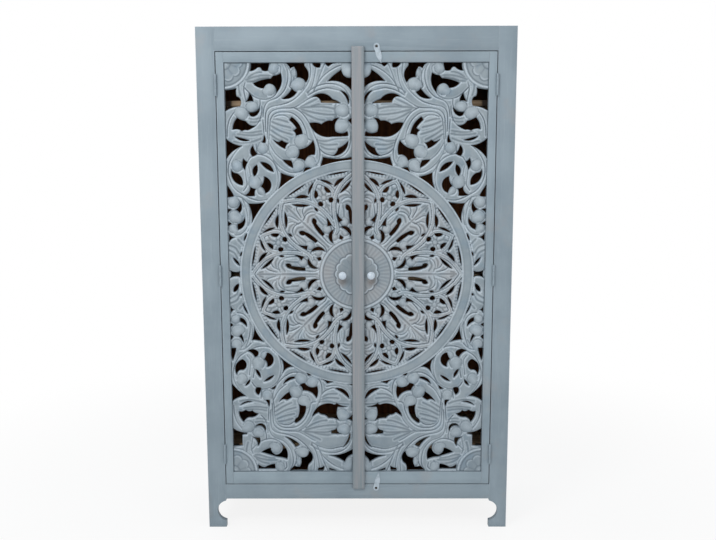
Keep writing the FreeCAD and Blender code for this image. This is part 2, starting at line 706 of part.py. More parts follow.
make_face_frame()
make_carcass()
make_shelves()
make_feet()
make_door_frame()
make_carved_panels()
make_cover_strip()
make_hinges()
make_knobs()
make_turn_buttons()
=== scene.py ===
# %% [markdown]
# # A carved storage cabinet
# The object is a tall two-door cabinet in worn slate-blue paint. Each door is a slim frame round
# a pierced, carved panel, and both panels together carry one large round medallion.
# The packed solids give every place and size. This lesson dresses them: it carves the panels,
# rounds the edges, turns the knobs and paints everything.

# %% Load the fixed frame
import json
import math
import random
import bmesh
import bpy
import numpy as np
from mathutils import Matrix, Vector
from mathutils.geometry import delaunay_2d_cdt
from mathutils.kdtree import KDTree


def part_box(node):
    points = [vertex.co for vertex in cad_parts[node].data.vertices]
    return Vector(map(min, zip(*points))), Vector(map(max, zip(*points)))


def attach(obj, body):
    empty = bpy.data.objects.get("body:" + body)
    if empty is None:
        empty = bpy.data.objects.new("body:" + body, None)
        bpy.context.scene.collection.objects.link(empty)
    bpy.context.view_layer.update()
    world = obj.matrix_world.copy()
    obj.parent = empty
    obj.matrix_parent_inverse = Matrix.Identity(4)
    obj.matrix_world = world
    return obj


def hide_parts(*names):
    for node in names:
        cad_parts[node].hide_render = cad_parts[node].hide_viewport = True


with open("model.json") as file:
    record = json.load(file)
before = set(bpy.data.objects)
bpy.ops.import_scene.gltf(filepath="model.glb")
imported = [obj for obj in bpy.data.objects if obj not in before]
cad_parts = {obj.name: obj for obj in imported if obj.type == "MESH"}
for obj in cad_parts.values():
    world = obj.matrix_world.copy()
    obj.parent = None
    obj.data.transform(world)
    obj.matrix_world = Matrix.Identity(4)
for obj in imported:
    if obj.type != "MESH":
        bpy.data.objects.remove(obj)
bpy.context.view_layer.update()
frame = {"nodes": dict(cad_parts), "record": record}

MM = 0.001
random.seed(7)

# %% [markdown]
# ## Helpers for shading
# A material is a web of nodes. Writing that web with plus and times signs is easier to read than
# placing nodes one by one, so a small class wraps one socket and turns each sign into a Math node.
# Every other node comes from one method, which sets its options first and its inputs after.

# %% A socket that can be reckoned with
class Shade:
    """One number, colour or direction inside a finish."""

    def __init__(self, finish, socket):
        self.finish, self.socket = finish, socket

    def reckon(self, operation, *others):
        sockets = dict(enumerate((self,) + others))
        return self.finish.node("ShaderNodeMath", {"operation": operation}, sockets)

    def __add__(self, other):
        return self.reckon("ADD", other)

    def __sub__(self, other):
        return self.reckon("SUBTRACT", other)

    def __mul__(self, other):
        return self.reckon("MULTIPLY", other)

    def __pow__(self, other):
        return self.reckon("POWER", other)

    def __rsub__(self, other):
        return self.reckon("MULTIPLY", -1) + other

    def lower(self, other):
        return self.reckon("MINIMUM", other)

    def upper(self, other):
        return self.reckon("MAXIMUM", other)

    def size(self):
        return self.reckon("ABSOLUTE")

    def wave(self):
        return self.reckon("SINE")

    __radd__, __rmul__ = __add__, __mul__

    def ramp(self, start, end):
        """0 up to start, 1 from end on, with a soft change between them."""
        return self.finish.node("ShaderNodeMapRange", {"interpolation_type": "SMOOTHSTEP"},
                                {"Value": self, "From Min": start, "From Max": end})


print("signs that also work from the right:", [name for name in vars(Shade) if name.startswith("__r")])


# %% A finish: one material and the ways to fill it
class Finish:
    """The web of nodes of one material, or of the world."""

    def __init__(self, name, owner=None):
        self.data = bpy.data.materials.new(name) if owner is None else owner
        self.data.use_nodes = True
        self.tree = self.data.node_tree
        self.tree.nodes.clear()

    def node(self, kind, settings=None, sockets=None, output=0):
        """Add a node, set its options, then its sockets, and give back one output."""
        made = self.tree.nodes.new(kind)
        for key, value in (settings or {}).items():
            setattr(made, key, value)
        for key, value in (sockets or {}).items():
            if isinstance(value, Shade):
                self.tree.links.new(value.socket, made.inputs[key])
            else:
                made.inputs[key].default_value = value
        return Shade(self, made.outputs[output]) if len(made.outputs) else None

    def place(self, stretch=(1, 1, 1)):
        """Where a point lies on the piece, in metres, squeezed or stretched on each axis."""
        where = self.node("ShaderNodeTexCoord", output="Object")
        return self.node("ShaderNodeMapping", {}, {"Vector": where, "Scale": stretch})

    def noise(self, scale, stretch=(1, 1, 1), detail=3, rough=0.55):
        return self.node("ShaderNodeTexNoise", {}, {
            "Vector": self.place(stretch), "Scale": scale, "Detail": detail, "Roughness": rough})

    def blend(self, first, second, factor):
        """A colour between two colours."""
        sockets = {0: factor}
        for key, colour in ((6, first), (7, second)):
            sockets[key] = colour if isinstance(colour, Shade) else (*colour, 1)
        return self.node("ShaderNodeMix", {"data_type": "RGBA"}, sockets, output=2)

    def mark(self, name):
        """A number that was stored on the mesh's points."""
        return self.node("ShaderNodeAttribute", {"attribute_name": name}, output="Fac")

    def axes(self):
        """The place on the piece, in metres, as three numbers."""
        where = self.node("ShaderNodeTexCoord", output="Object")
        split = self.node("ShaderNodeSeparateXYZ", {}, {0: where}).socket.node
        return [Shade(self, split.outputs[i]) for i in range(3)]

    def direct_rays(self):
        """1 for rays from the camera, off gloss or through glass, and 0 for the rest."""
        path = self.node("ShaderNodeLightPath").socket.node
        straight, glossy, through = (Shade(self, path.outputs[kind]) for kind in (
            "Is Camera Ray", "Is Glossy Ray", "Is Transmission Ray"))
        return straight.upper(glossy).upper(through)

    def finish(self, colour, roughness, height=None, depth=1.0, strength=0.6, **fixed):
        """Close the web: colour, roughness and a bump that is depth millimetres high."""
        sockets = {"Base Color": colour, "Roughness": roughness}
        if height is not None:
            sockets["Normal"] = self.node("ShaderNodeBump", {}, {
                "Height": height, "Distance": depth * MM, "Strength": strength})
        sockets.update({key.replace("_", " "): value for key, value in fixed.items()})
        shader = self.node("ShaderNodeBsdfPrincipled", {}, sockets)
        self.node("ShaderNodeOutputMaterial", {}, {"Surface": shader})
        return self.data


def srgb(*parts):
    """A colour read as 0 to 255 on screen, as the plain light that a shader needs."""
    return tuple((p / 255 / 12.92) if p / 255 < 0.04045 else ((p / 255 + 0.055) / 1.055) ** 2.4
                 for p in parts)


def grain(along, squeeze):
    """A stretch that draws a pattern out along one axis: 0, 1 or 2."""
    return [squeeze if axis == along else 1.0 for axis in range(3)]


print("shading helpers ready")

# %% [markdown]
# ## The paint
# The boards are brush-painted in slate blue over a warm primer. The brush left long streaks along
# the grain, the arrises are rubbed pale, and there are small darker clouds where hands and cloths
# have been. The edge rub needs the distance from each arris. A board is a box, so that distance
# is the middle one of the three distances from its faces, which is worked out in the material.

# %% Paint for a board
SLATE = srgb(141, 155, 164)
DOOR_SLATE = srgb(147, 162, 171)
SLATE_DEEP = srgb(120, 135, 145)
SLATE_PALE = srgb(163, 175, 182)
PRIMER = srgb(160, 150, 144)
RUBBED = srgb(188, 197, 202)
GRIME = srgb(98, 112, 124)


def board_paint(name, low, high, along, slate):
    """Brushed paint on one board. along is the axis of the grain: 0, 1 or 2."""
    f = Finish(name)
    stretch = grain(along, 0.05)
    streaks = f.noise(190, stretch, 4, 0.65)
    fine = f.noise(900, stretch, 2)
    clouds = f.noise(5, detail=4)
    colour = f.blend(SLATE_DEEP, slate, clouds.ramp(0.3, 0.6) * 0.55 + 0.45)
    colour = f.blend(colour, SLATE_PALE, streaks.ramp(0.5, 0.8) * 0.3)
    colour = f.blend(colour, PRIMER, f.noise(7, detail=5).ramp(0.56, 0.7) * 0.22)
    x, y, z = [(axis - low[i]).lower(high[i] - axis) for i, axis in enumerate(f.axes())]
    arris = x.lower(y).upper(x.upper(y).lower(z))
    rub = (1 - (arris + (f.noise(60, detail=4) - 0.5) * 0.004).ramp(0.0003, 0.002)) * 0.26
    colour = f.blend(colour, RUBBED, rub)
    grime = (1 - (arris + (f.noise(14) - 0.5) * 0.03).ramp(0.004, 0.022)) * 0.08
    colour = f.blend(colour, GRIME, grime)
    rough = 0.62 + (streaks - 0.5) * 0.2 - rub * 0.1
    return f.finish(colour, rough, streaks * 0.7 + fine * 0.3, 0.18, 0.45)


print("board paint ready")

# %% [markdown]
# The carving was painted in the same slate, then brushed with a nearly dry pale brush, so the high
# ridges are light. On top of that, painted shade darkens the cuts, and painted highlight makes the
# ridges paler, most where they look up. The relief below stores on each point how deep it lies
# in a cut, how near a ridge, and how far the warm rubbing over the medallion has gone, and this
# finish reads those marks. The back of the panel has a thinner coat.

# %% Paint for the carving
PANEL_BACK_FROM, PANEL_BACK_TO = -0.1699, -0.1696
BELOW_KNOB_X, BELOW_KNOB_Z = 0.052, 0.92


def carving_paint(name):
    f = Finish(name)
    cut, ridge, warmth = f.mark("cut"), f.mark("ridge"), f.mark("warmth")
    clouds = f.noise(11, detail=4)
    fibres = f.noise(520, (1, 1, 0.16), 3, 0.6)
    specks = f.noise(330, detail=3, rough=0.7)
    colour = f.blend(srgb(130, 143, 151), srgb(147, 159, 166), clouds.ramp(0.3, 0.62))
    bluer = f.noise(17, detail=4).ramp(0.5, 0.68) * 0.55
    colour = f.blend(colour, srgb(122, 142, 157), bluer)
    dry_brush = f.noise(240, (1, 1, 0.12), 3).ramp(0.55, 0.75) * 0.35
    colour = f.blend(colour, srgb(166, 174, 178), dry_brush)
    rubbed = warmth * (clouds * 0.6 + specks * 0.4).ramp(0.38, 0.66) * 0.8
    colour = f.blend(colour, srgb(158, 154, 153), rubbed)
    # Pale on ridges: partly dry-brush wear, partly painted highlight.
    colour = f.blend(colour, srgb(206, 218, 227), ridge * (specks * 0.6 + 0.4).ramp(0.4, 0.82))
    # Painted shade: darker in the cuts, under edges that look down and on the walls of the openings.
    colour = f.blend(colour, srgb(68, 81, 92), cut * (1.15 - specks * 0.3))
    x, y, z = f.axes()
    # Painted shade: the carving is darker towards the bottom, where less light falls on it.
    colour = f.blend(colour, srgb(104, 118, 132), (1 - z.ramp(0.25, 0.8)) * 0.17)
    # A darker, browner patch just below each knob.
    from_knob_patch = ((x.size() - BELOW_KNOB_X) ** 2 + (z - BELOW_KNOB_Z) ** 2) ** 0.5
    below_knob_patch = (1 - from_knob_patch.ramp(0.004, 0.026)) * (specks * 0.5 + 0.35)
    colour = f.blend(colour, srgb(112, 103, 97), below_knob_patch)
    thin = f.blend(srgb(122, 134, 142), srgb(140, 134, 126),
                   (fibres * 0.6 + clouds * 0.4).ramp(0.45, 0.65) * 0.7)
    colour = f.blend(colour, thin, y.ramp(PANEL_BACK_FROM, PANEL_BACK_TO))
    rough = 0.6 + (specks - 0.5) * 0.25 + cut * 0.1
    return f.finish(colour, rough, fibres * 0.6 + specks * 0.4, 0.3, 0.5)


print("carving paint ready")

# %% [markdown]
# Inside, nobody painted. The shelves are pale timber, with painted shade at their ends, and the
# back board and the rest of the inside are stained dark, so the openings of the carving read as black.

# %% Bare and stained timber
SHELF_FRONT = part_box("upper_shelf")[0].y


def timber(name, light, dark, along, knots=0.0, stained_from=None):
    """Timber with rings and pores. The last argument is how far out, in metres, painted shade begins.
    """
    f = Finish(name)
    stretch = grain(along, 0.06)
    bend = f.noise(9, stretch, 3)
    x, y, z = f.axes()
    across = y if along != 1 else x
    rings = ((across + (z if along != 2 else x)) * 260 + bend * 55).wave() * 0.5 + 0.5
    pores = f.noise(700, stretch, 3, 0.7)
    colour = f.blend(dark, light, rings * 0.55 + pores * 0.4)
    colour = f.blend(colour, dark, f.noise(6).ramp(0.55, 0.75) * (0.25 + knots))
    # Painted shade at the shelf ends: the front edge goes near black, and the top darkens into the
    # back corners.
    if stained_from:
        edge = 1 - y.ramp(SHELF_FRONT, SHELF_FRONT + 0.002)
        ends = x.size().ramp(stained_from, stained_from + 0.01)
        colour = f.blend(colour, srgb(20, 13, 8), ends * edge)
        corner_shade = 1 - (y + x.size() * -0.6).ramp(SHELF_FRONT - 0.30, SHELF_FRONT - 0.20)
        colour = f.blend(colour, srgb(64, 46, 30), corner_shade * x.size().ramp(0.4, 0.5) * 0.85)
    rough = 0.74 + (pores - 0.5) * 0.2
    return f.finish(colour, rough, rings * 0.4 + pores * 0.6, 0.3, 0.6)


print("front of the upper shelf in mm:", round(SHELF_FRONT / MM, 1))

# %% [markdown]
# The hinges and turn buttons are iron under the same paint, chipped here and there, with the
# metal showing at the chips. The screws and the bolts behind the knobs were left as dark steel.

# %% Painted iron and dark steel
def painted_iron(name, colour=SLATE, chips=0.5):
    f = Finish(name)
    lumps = f.noise(260, detail=3)
    worn = f.noise(420, detail=5, rough=0.7).ramp(0.60, 0.68) * chips
    base = f.blend(colour, SLATE_DEEP, f.noise(60).ramp(0.4, 0.7) * 0.5)
    base = f.blend(base, srgb(70, 66, 62), worn)
    rough = 0.5 + worn * 0.15 + (lumps - 0.5) * 0.15
    return f.finish(base, rough, lumps - worn * 0.6, 0.25, 0.5)


def dark_steel(name):
    f = Finish(name)
    turned = f.noise(900, detail=4)
    stain = f.noise(180, detail=4).ramp(0.45, 0.65)
    base = f.blend(srgb(74, 72, 70), srgb(52, 42, 34), stain)
    return f.finish(base, 0.42 + stain * 0.3, turned, 0.1, 0.4, Metallic=0.85)


PAINTED_IRON, DARK_STEEL = painted_iron("painted_iron_worn"), dark_steel("dark_steel_oiled")
CARVING = carving_paint("painted_carving")
PALE_TIMBER = timber("pale_shelf_timber", srgb(190, 166, 136), srgb(150, 122, 92), 0,
                     stained_from=0.434)
DARK_TIMBER = timber("dark_stained_timber", srgb(140, 86, 46), srgb(98, 56, 28), 2, 0.3)
DARK_FLOOR_TIMBER = timber("dark_bottom_timber", srgb(128, 84, 50), srgb(90, 56, 30), 0, 0.3)
print("finishes:", len(bpy.data.materials))

# %% [markdown]
# ## Camera, light and stage
# The photograph was taken from in front, a little above the middle, close enough for the
# top edge to look slightly narrower. The light is soft and even, from the front and above.
# The floor is plain and pale. Far from the cabinet it turns to plain white, so that it meets the
# white backdrop without a line, and near the cabinet it keeps the soft shadow.

# %% Camera
camera_data = bpy.data.cameras.new("photo_camera")
camera_data.lens, camera_data.sensor_width = 38.0, 36.0
camera = bpy.data.objects.new("photo_camera", camera_data)
bpy.context.scene.collection.objects.link(camera)
camera.location = (0.0149, -2.8465, 1.3147)
camera.rotation_euler = Vector((-0.004, 0.9913, -0.1313)).to_track_quat("-Z", "Y").to_euler()
camera.rotation_euler.rotate_axis("Z", math.radians(-0.13))
bpy.context.scene.camera = camera
bpy.context.scene.view_settings.view_transform = "Standard"
print("camera tilt in degrees:", round(math.degrees(camera.rotation_euler.x) - 90, 2))


# %% Lamps and world
def soft_lamp(name, place, aim, width, watts, colour=(1, 1, 1)):
    lamp = bpy.data.lights.new(name, "AREA")
    lamp.shape, lamp.size, lamp.size_y = "RECTANGLE", width, width
    lamp.energy, lamp.color = watts, colour
    holder = bpy.data.objects.new(name, lamp)
    bpy.context.scene.collection.objects.link(holder)
    holder.location = place
    holder.rotation_euler = (Vector(aim) - Vector(place)).to_track_quat("-Z", "Y").to_euler()


soft_lamp("key_panel", (-1.9, -2.6, 3.3), (0, 0, 0.9), 1.3, 58)
soft_lamp("fill_panel", (2.6, -2.8, 1.6), (0, 0, 0.9), 2.0, 20, (0.98, 0.98, 1))
soft_lamp("top_panel_light", (0, 0.2, 3.6), (0, 0, 0), 2.0, 20)

world = Finish("studio", bpy.data.worlds.new("studio"))
bpy.context.scene.world = world.data
room = world.node("ShaderNodeBackground", {}, {"Color": (0.93, 0.97, 1, 1), "Strength": 0.55})
backdrop = world.node("ShaderNodeBackground", {}, {"Color": (1, 1, 1, 1)})
mixed = world.node("ShaderNodeMixShader", {}, {0: world.direct_rays(), 1: room, 2: backdrop})
world.node("ShaderNodeOutputWorld", {}, {"Surface": mixed})
print("lamps:", len(bpy.data.lights))

# %% Floor
FLOOR_RADIUS = 14
bpy.ops.object.select_all(action="DESELECT")
bpy.ops.mesh.primitive_circle_add(vertices=96, radius=FLOOR_RADIUS, fill_type="NGON",
                                  location=(0, 0, -0.0002))
studio_floor = bpy.context.object
studio_floor.name = "studio_floor"
f = Finish("studio_floor")
x, y, _ = f.axes()
far = ((x * x + y * y) ** 0.5).ramp(0.9, 2.6)
matt = f.node("ShaderNodeBsdfDiffuse", {}, {"Color": (0.86, 0.86, 0.86, 1)})
white = f.node("ShaderNodeEmission", {}, {"Color": (1, 1, 1, 1), "Strength": 1.0})
share = (far * 0.14 + 0.86) * f.direct_rays()
mixed = f.node("ShaderNodeMixShader", {}, {0: share, 1: matt, 2: white})
f.node("ShaderNodeOutputMaterial", {}, {"Surface": mixed})
studio_floor.data.materials.append(f.data)
print("floor radius in m:", FLOOR_RADIUS)

# %% [markdown]
# ## The boards
# Every board of the real cabinet is planed timber whose arrises were rubbed round before
# painting. The solids are exact but razor-edged, so a copy of each one is merged, cleaned of the
# extra edges on its flat faces, and given a small bevel. The copy takes the place of the node.
# A few helpers take up the steps that every piece below needs.

# %% Helpers for modelling
def pick(*pieces):
    """Select these pieces only, and make the first one active."""
    bpy.ops.object.select_all(action="DESELECT")
    for piece in pieces:
        piece.select_set(True)
    bpy.context.view_layer.objects.active = pieces[0]


def new_piece(name, mesh):
    piece = bpy.data.objects.new(name, mesh)
    bpy.context.scene.collection.objects.link(piece)
    pick(piece)
    return piece


def edit_whole(*steps):
    """Run each step in edit mode with the whole mesh selected."""
    bpy.ops.object.mode_set(mode="EDIT")
    for step in steps:
        bpy.ops.mesh.select_all(action="SELECT")
        step()
    bpy.ops.object.mode_set(mode="OBJECT")


def merge(gap):
    """Merge the points of the selected mesh that lie closer than gap millimetres."""
    bpy.ops.mesh.remove_doubles(threshold=gap * MM)


def point_outwards():
    bpy.ops.mesh.normals_make_consistent(inside=False)


def smooth(degrees):
    """Shade the active piece smoothly, but for edges sharper than this."""
    bpy.ops.object.shade_smooth_by_angle(angle=math.radians(degrees))


print("modelling helpers ready")

# %% Rounded copies of the boards
BODY_OF = {node: body for body, nodes in frame["record"]["behaviour"]["bodies"].items()
           for node in nodes}


def adopt(piece, node, finish):
    """Give a finished piece its paint and let it stand for its node."""
    piece.data.materials.clear()
    piece.data.materials.append(finish)
    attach(piece, BODY_OF[node])
    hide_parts(node)


def rounded_board(node, name, along, rounding=1.2, finish=None):
    """A painted copy of a node with arrises that are rounding millimetres wide."""
    board = new_piece(name, frame["nodes"][node].data.copy())
    edit_whole(lambda: merge(0.02),
               lambda: bpy.ops.mesh.dissolve_limited(angle_limit=math.radians(0.5)))
    bevel = board.modifiers.new("rubbed arris", "BEVEL")
    bevel.width, bevel.segments, bevel.limit_method = rounding * MM, 2, "ANGLE"
    bevel.angle_limit = math.radians(40)
    bpy.ops.object.modifier_apply(modifier=bevel.name)
    smooth(50)
    low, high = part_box(node)
    slate = DOOR_SLATE if "door" in node else SLATE
    adopt(board, node, finish or board_paint(name + "_paint", low, high, along, slate))


BOARDS = (
    ("left_frame_stile", 2, 0.6), ("right_frame_stile", 2, 0.6),
    ("frame_top_rail", 0, 0.5), ("frame_bottom_rail", 0, 0.5),
    ("left_side_panel", 2, 1.4), ("right_side_panel", 2, 1.4), ("top_panel", 0, 1.6),
    ("front_side_feet", 2, 1.2), ("rear_side_feet", 2, 1.2),
    ("left_door_outer_stile", 2, 1.0), ("right_door_outer_stile", 2, 1.0),
    ("left_door_meeting_stile", 2, 1.0), ("right_door_meeting_stile", 2, 1.0),
    ("left_door_top_rail", 0, 1.0), ("right_door_top_rail", 0, 1.0),
    ("left_door_bottom_rail", 0, 1.0), ("right_door_bottom_rail", 0, 1.0),
)
for node, along, rounding in BOARDS:
    rounded_board(node, node + "_painted", along, rounding)
for node in ("lower_shelf", "middle_shelf", "upper_shelf"):
    rounded_board(node, node + "_timber", 0, 1.5, PALE_TIMBER)
rounded_board("bottom_panel", "bottom_panel_timber", 0, 1.0, DARK_FLOOR_TIMBER)
rounded_board("back_panel", "back_panel_timber", 2, 0.8, DARK_TIMBER)

# %% [markdown]
# ## The carving: the drawing
# The carver squared up the panel in squares of about 10 mm, 44 across and 146.8 up, and pierced
# it along drawn outlines. The tables give those outlines in squares from the hinge side and from
# the middle height. Each outline goes corner, place on the way, next corner, and so on, and each
# side is the arc through its three places.

# %% The squared-up panel
door_low, door_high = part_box("left_carved_panel")
SIGHT_OUTER, SIGHT_INNER, SIGHT_BOTTOM, SIGHT_TOP = -456.0, -15.5, 213.0, 1681.0
BOARD_OUTER, BOARD_INNER = door_low.x / MM, door_high.x / MM
BOARD_BOTTOM, BOARD_TOP = door_low.z / MM, door_high.z / MM
GROUND, BACK = -179.5, -169.5
SQUARES_ACROSS, SQUARES_UP = 44, 146.8
SQUARE_X = (SIGHT_INNER - SIGHT_OUTER) / SQUARES_ACROSS
SQUARE_Z = (SIGHT_TOP - SIGHT_BOTTOM) / SQUARES_UP
MIDDLE = (SIGHT_TOP + SIGHT_BOTTOM) / 2
SQUASH = 0.975  # The medallion is a little less high than wide, in squares
print("square in mm:", round(SQUARE_X, 3), round(SQUARE_Z, 3))

# %% Pierced openings of the upper half
UPPER_OPENINGS = (
    ((0, 64.2), (2.2, 64.4), (4.1, 64.8), (3.9, 63.4), (4.2, 62), (4.8, 61.8), (5.3, 61.4),
     (5.6, 60), (5.2, 58.7), (2.8, 58.3), (0, 57), (0, 60.5)),
    ((8.6, 63.2), (9.4, 62), (9.9, 60.4), (8.6, 60.5), (7.3, 60.1), (8.1, 61.5)),
    ((8.3, 56.7), (10.6, 57), (12, 58.3), (11.7, 56.6), (10.4, 55.4), (9.1, 55.3)),
    ((2.5, 50.7), (2.9, 53), (4.1, 54.8), (5.4, 54.1), (7.2, 53.6), (8.6, 52.3), (10.6, 52.1),
     (9.2, 51.2), (7.7, 50.5), (6.8, 50.6), (5.7, 50.2), (4.2, 50.9)),
    ((3.3, 48.3), (5.6, 47.8), (8.3, 47), (5.4, 47)),
    ((0, 47.6), (2.4, 46), (5.6, 45.1), (2.4, 43.3), (0, 40.6), (0, 44)),
    ((9.5, 45.3), (9.9, 43.9), (10.9, 42.4), (10.1, 41.8), (9.2, 41.5), (8.5, 43.5)),
    ((13.4, 48.9), (13.9, 47.6), (13.8, 46.2), (13.2, 46.2), (12.6, 46.4), (13.1, 47.5)),
    ((9.2, 73.4), (12.4, 73.4), (15.6, 73.4), (15.4, 72), (15, 70.7), (14, 70.6), (13, 70.9),
     (12.1, 71.9), (11.2, 71.5), (10, 70.8), (8.8, 70.6), (9.2, 72)),
    ((9.9, 66.5), (12.8, 67.6), (16, 68.1), (16.5, 68.7), (16.9, 69.1), (18.2, 69.3), (19.4, 70),
     (19.7, 66.5), (17.8, 63.2), (17.3, 65.5), (15.5, 66.4), (14.2, 65.8),
     (13.6, 64.8), (11.8, 65.1)),
    ((19.8, 61.3), (21.8, 62.8), (23.3, 64.7), (24.1, 63.9), (25, 63.5), (22.9, 61.6)),
    ((21.2, 73.4), (24.5, 73.4), (27.7, 73.4), (27.6, 72.7), (27.9, 72), (29.1, 69.3), (28.1, 66.7),
     (26.9, 68.1), (25, 68.4), (25, 70.2), (24.1, 72), (23.4, 71.8), (22.8, 71.4), (22.2, 72.5)),
    ((30.4, 73.4), (31.8, 73.4), (33.1, 73.4), (33.2, 72.5), (33, 71.8), (31.6, 71.9)),
    ((34.8, 73.4), (36.8, 73.4), (38.8, 73.4), (37.2, 73), (36, 72.1), (35.3, 72.6)),
    ((35.7, 67.1), (37.9, 69.3), (40.4, 71), (41.4, 68.9), (44, 68.3), (44, 66), (44, 63.9),
     (40.4, 66.7)),
    ((30.1, 61.7), (33.8, 63), (37.2, 61.1), (38.6, 60.6), (40, 59.7), (36.6, 59.8), (33.3, 59.9),
     (32.3, 61.6)),
    ((40, 63.9), (42.3, 62.7), (42.8, 59.4), (41.9, 61.8)),
    ((29.2, 52.9), (31.3, 53.1), (33.4, 52.5), (34.8, 53.5), (37.1, 53.7), (38.2, 54.5),
     (39.5, 54.7),
     (38.1, 52.5), (38.3, 50), (40.2, 49.4), (42.3, 50.1), (42.6, 49.3), (42.6, 48.5), (40, 48.3),
     (37.1, 48.3), (32.2, 49.1)),
    ((42.7, 53.8), (43.3, 54.3), (44, 54.7), (44, 53.5), (44, 52.4), (43.3, 53.2)),
    ((22.3, 53.9), (22.6, 54.5), (23.1, 55), (25.6, 52.5), (26.8, 49.2), (25.6, 49), (24.5, 48.6),
     (24.3, 49.6), (23.6, 50.3), (24.2, 50.8), (24.7, 51.2), (23.7, 52.6)),
    ((16.5, 47.3), (17.6, 46.7), (18.6, 46.5), (19.1, 46.9), (19.6, 47.1), (20.6, 46.4),
     (21.8, 46.1),
     (21, 45.2), (20.7, 44.1), (18.4, 45.4)),
    ((30.4, 47), (31.1, 44.6), (30.9, 42), (28.7, 41.6), (27.6, 39.9), (26.2, 40.6), (24.7, 40.8),
     (25.5, 42.3), (25.5, 43.9), (28.4, 44.9)),
    ((19.8, 40.3), (21.2, 40.2), (22.7, 40), (23.2, 38.7), (23.3, 37.5), (21.3, 38.7)),
    ((42.7, 46.7), (41.2, 43.2), (37.1, 41.7), (38.6, 42.9), (39.1, 44.3), (40.9, 45.2)),
    ((33.8, 41.2), (38.8, 40.6), (44, 41.3), (44, 40.9), (44, 40.3), (38.1, 39.5), (32.8, 38),
     (33.4, 39.6)),
    ((27.6, 37.6), (28.7, 37.6), (29.8, 37.4), (28.3, 36.8), (26.9, 35.8), (27.2, 36.8)),
    ((19, 35.8), (21.3, 34.9), (23.9, 34.3), (20.6, 32.2), (18, 29.9), (18.9, 32.8)),
    ((6.1, 40.8), (6.7, 40), (7.5, 39.6), (6.9, 38.3), (6.5, 36.8), (5.6, 38.6)),
    ((10.7, 38.6), (10.9, 36.6), (9.8, 34.6), (9.1, 36.4)),
    ((11.9, 39.5), (14.9, 38.7), (16.5, 36.1), (13.8, 37.4)),
    ((1.8, 36.9), (2.4, 36), (3.5, 35.7), (5.2, 34.2), (5.6, 31.5), (2.6, 33)),
    ((13.1, 34.5), (15.4, 32.6), (13.4, 28.7), (13, 30), (11.9, 31.1), (12.9, 32.7)),
    ((8.2, 30.9), (9.1, 30.4), (10.1, 30.2), (9.7, 29), (9.8, 27.8), (8, 27.7), (6.2, 28),
     (7.6, 29)),
    ((0, 31.5), (1.3, 29.7), (2.4, 27.7), (1.2, 27.4), (0, 27.4), (0, 29.4)),
    ((4.5, 25.7), (5.1, 23.7), (4.3, 21.8), (3.6, 22.5), (2.8, 22.9), (4, 24)),
    ((7.4, 25.1), (10.4, 25), (13.4, 25.5), (10.7, 22), (8.6, 18), (8.5, 21.7)),
    ((6, 20.1), (5.8, 17.5), (3.6, 15.8), (3.4, 16.8), (3.4, 17.8), (5, 18.6)),
    ((0, 23.1), (0.8, 23.1), (1.5, 22.9), (0.8, 22.5), (0, 21.7), (0, 22.4)),
    ((0, 18.7), (0.7, 18.4), (1.3, 18), (0.7, 17.5), (0, 17.2), (0, 18)),
    ((0.4, 14.5), (1.2, 13.5), (2.4, 13.1), (1.2, 12.6), (0.4, 11.6), (0.3, 13)),
    ((6.8, 14.5), (6.5, 13.1), (5.7, 11.9), (5.9, 13.4)),
    ((5, 7.9), (4.8, 7), (4.2, 6.4), (4.2, 7.3)),
    ((1.6, 5.9), (2.9, 5), (3.9, 3), (2.3, 4.4)),
    ((0.4, 1.4), (2.2, 0.7), (4.1, 1.1), (3.8, 0), (4.1, -1.1), (2.2, -0.8), (0.4, -1.4), (0.7, 0)),
)
print("openings above the middle:", len(UPPER_OPENINGS))

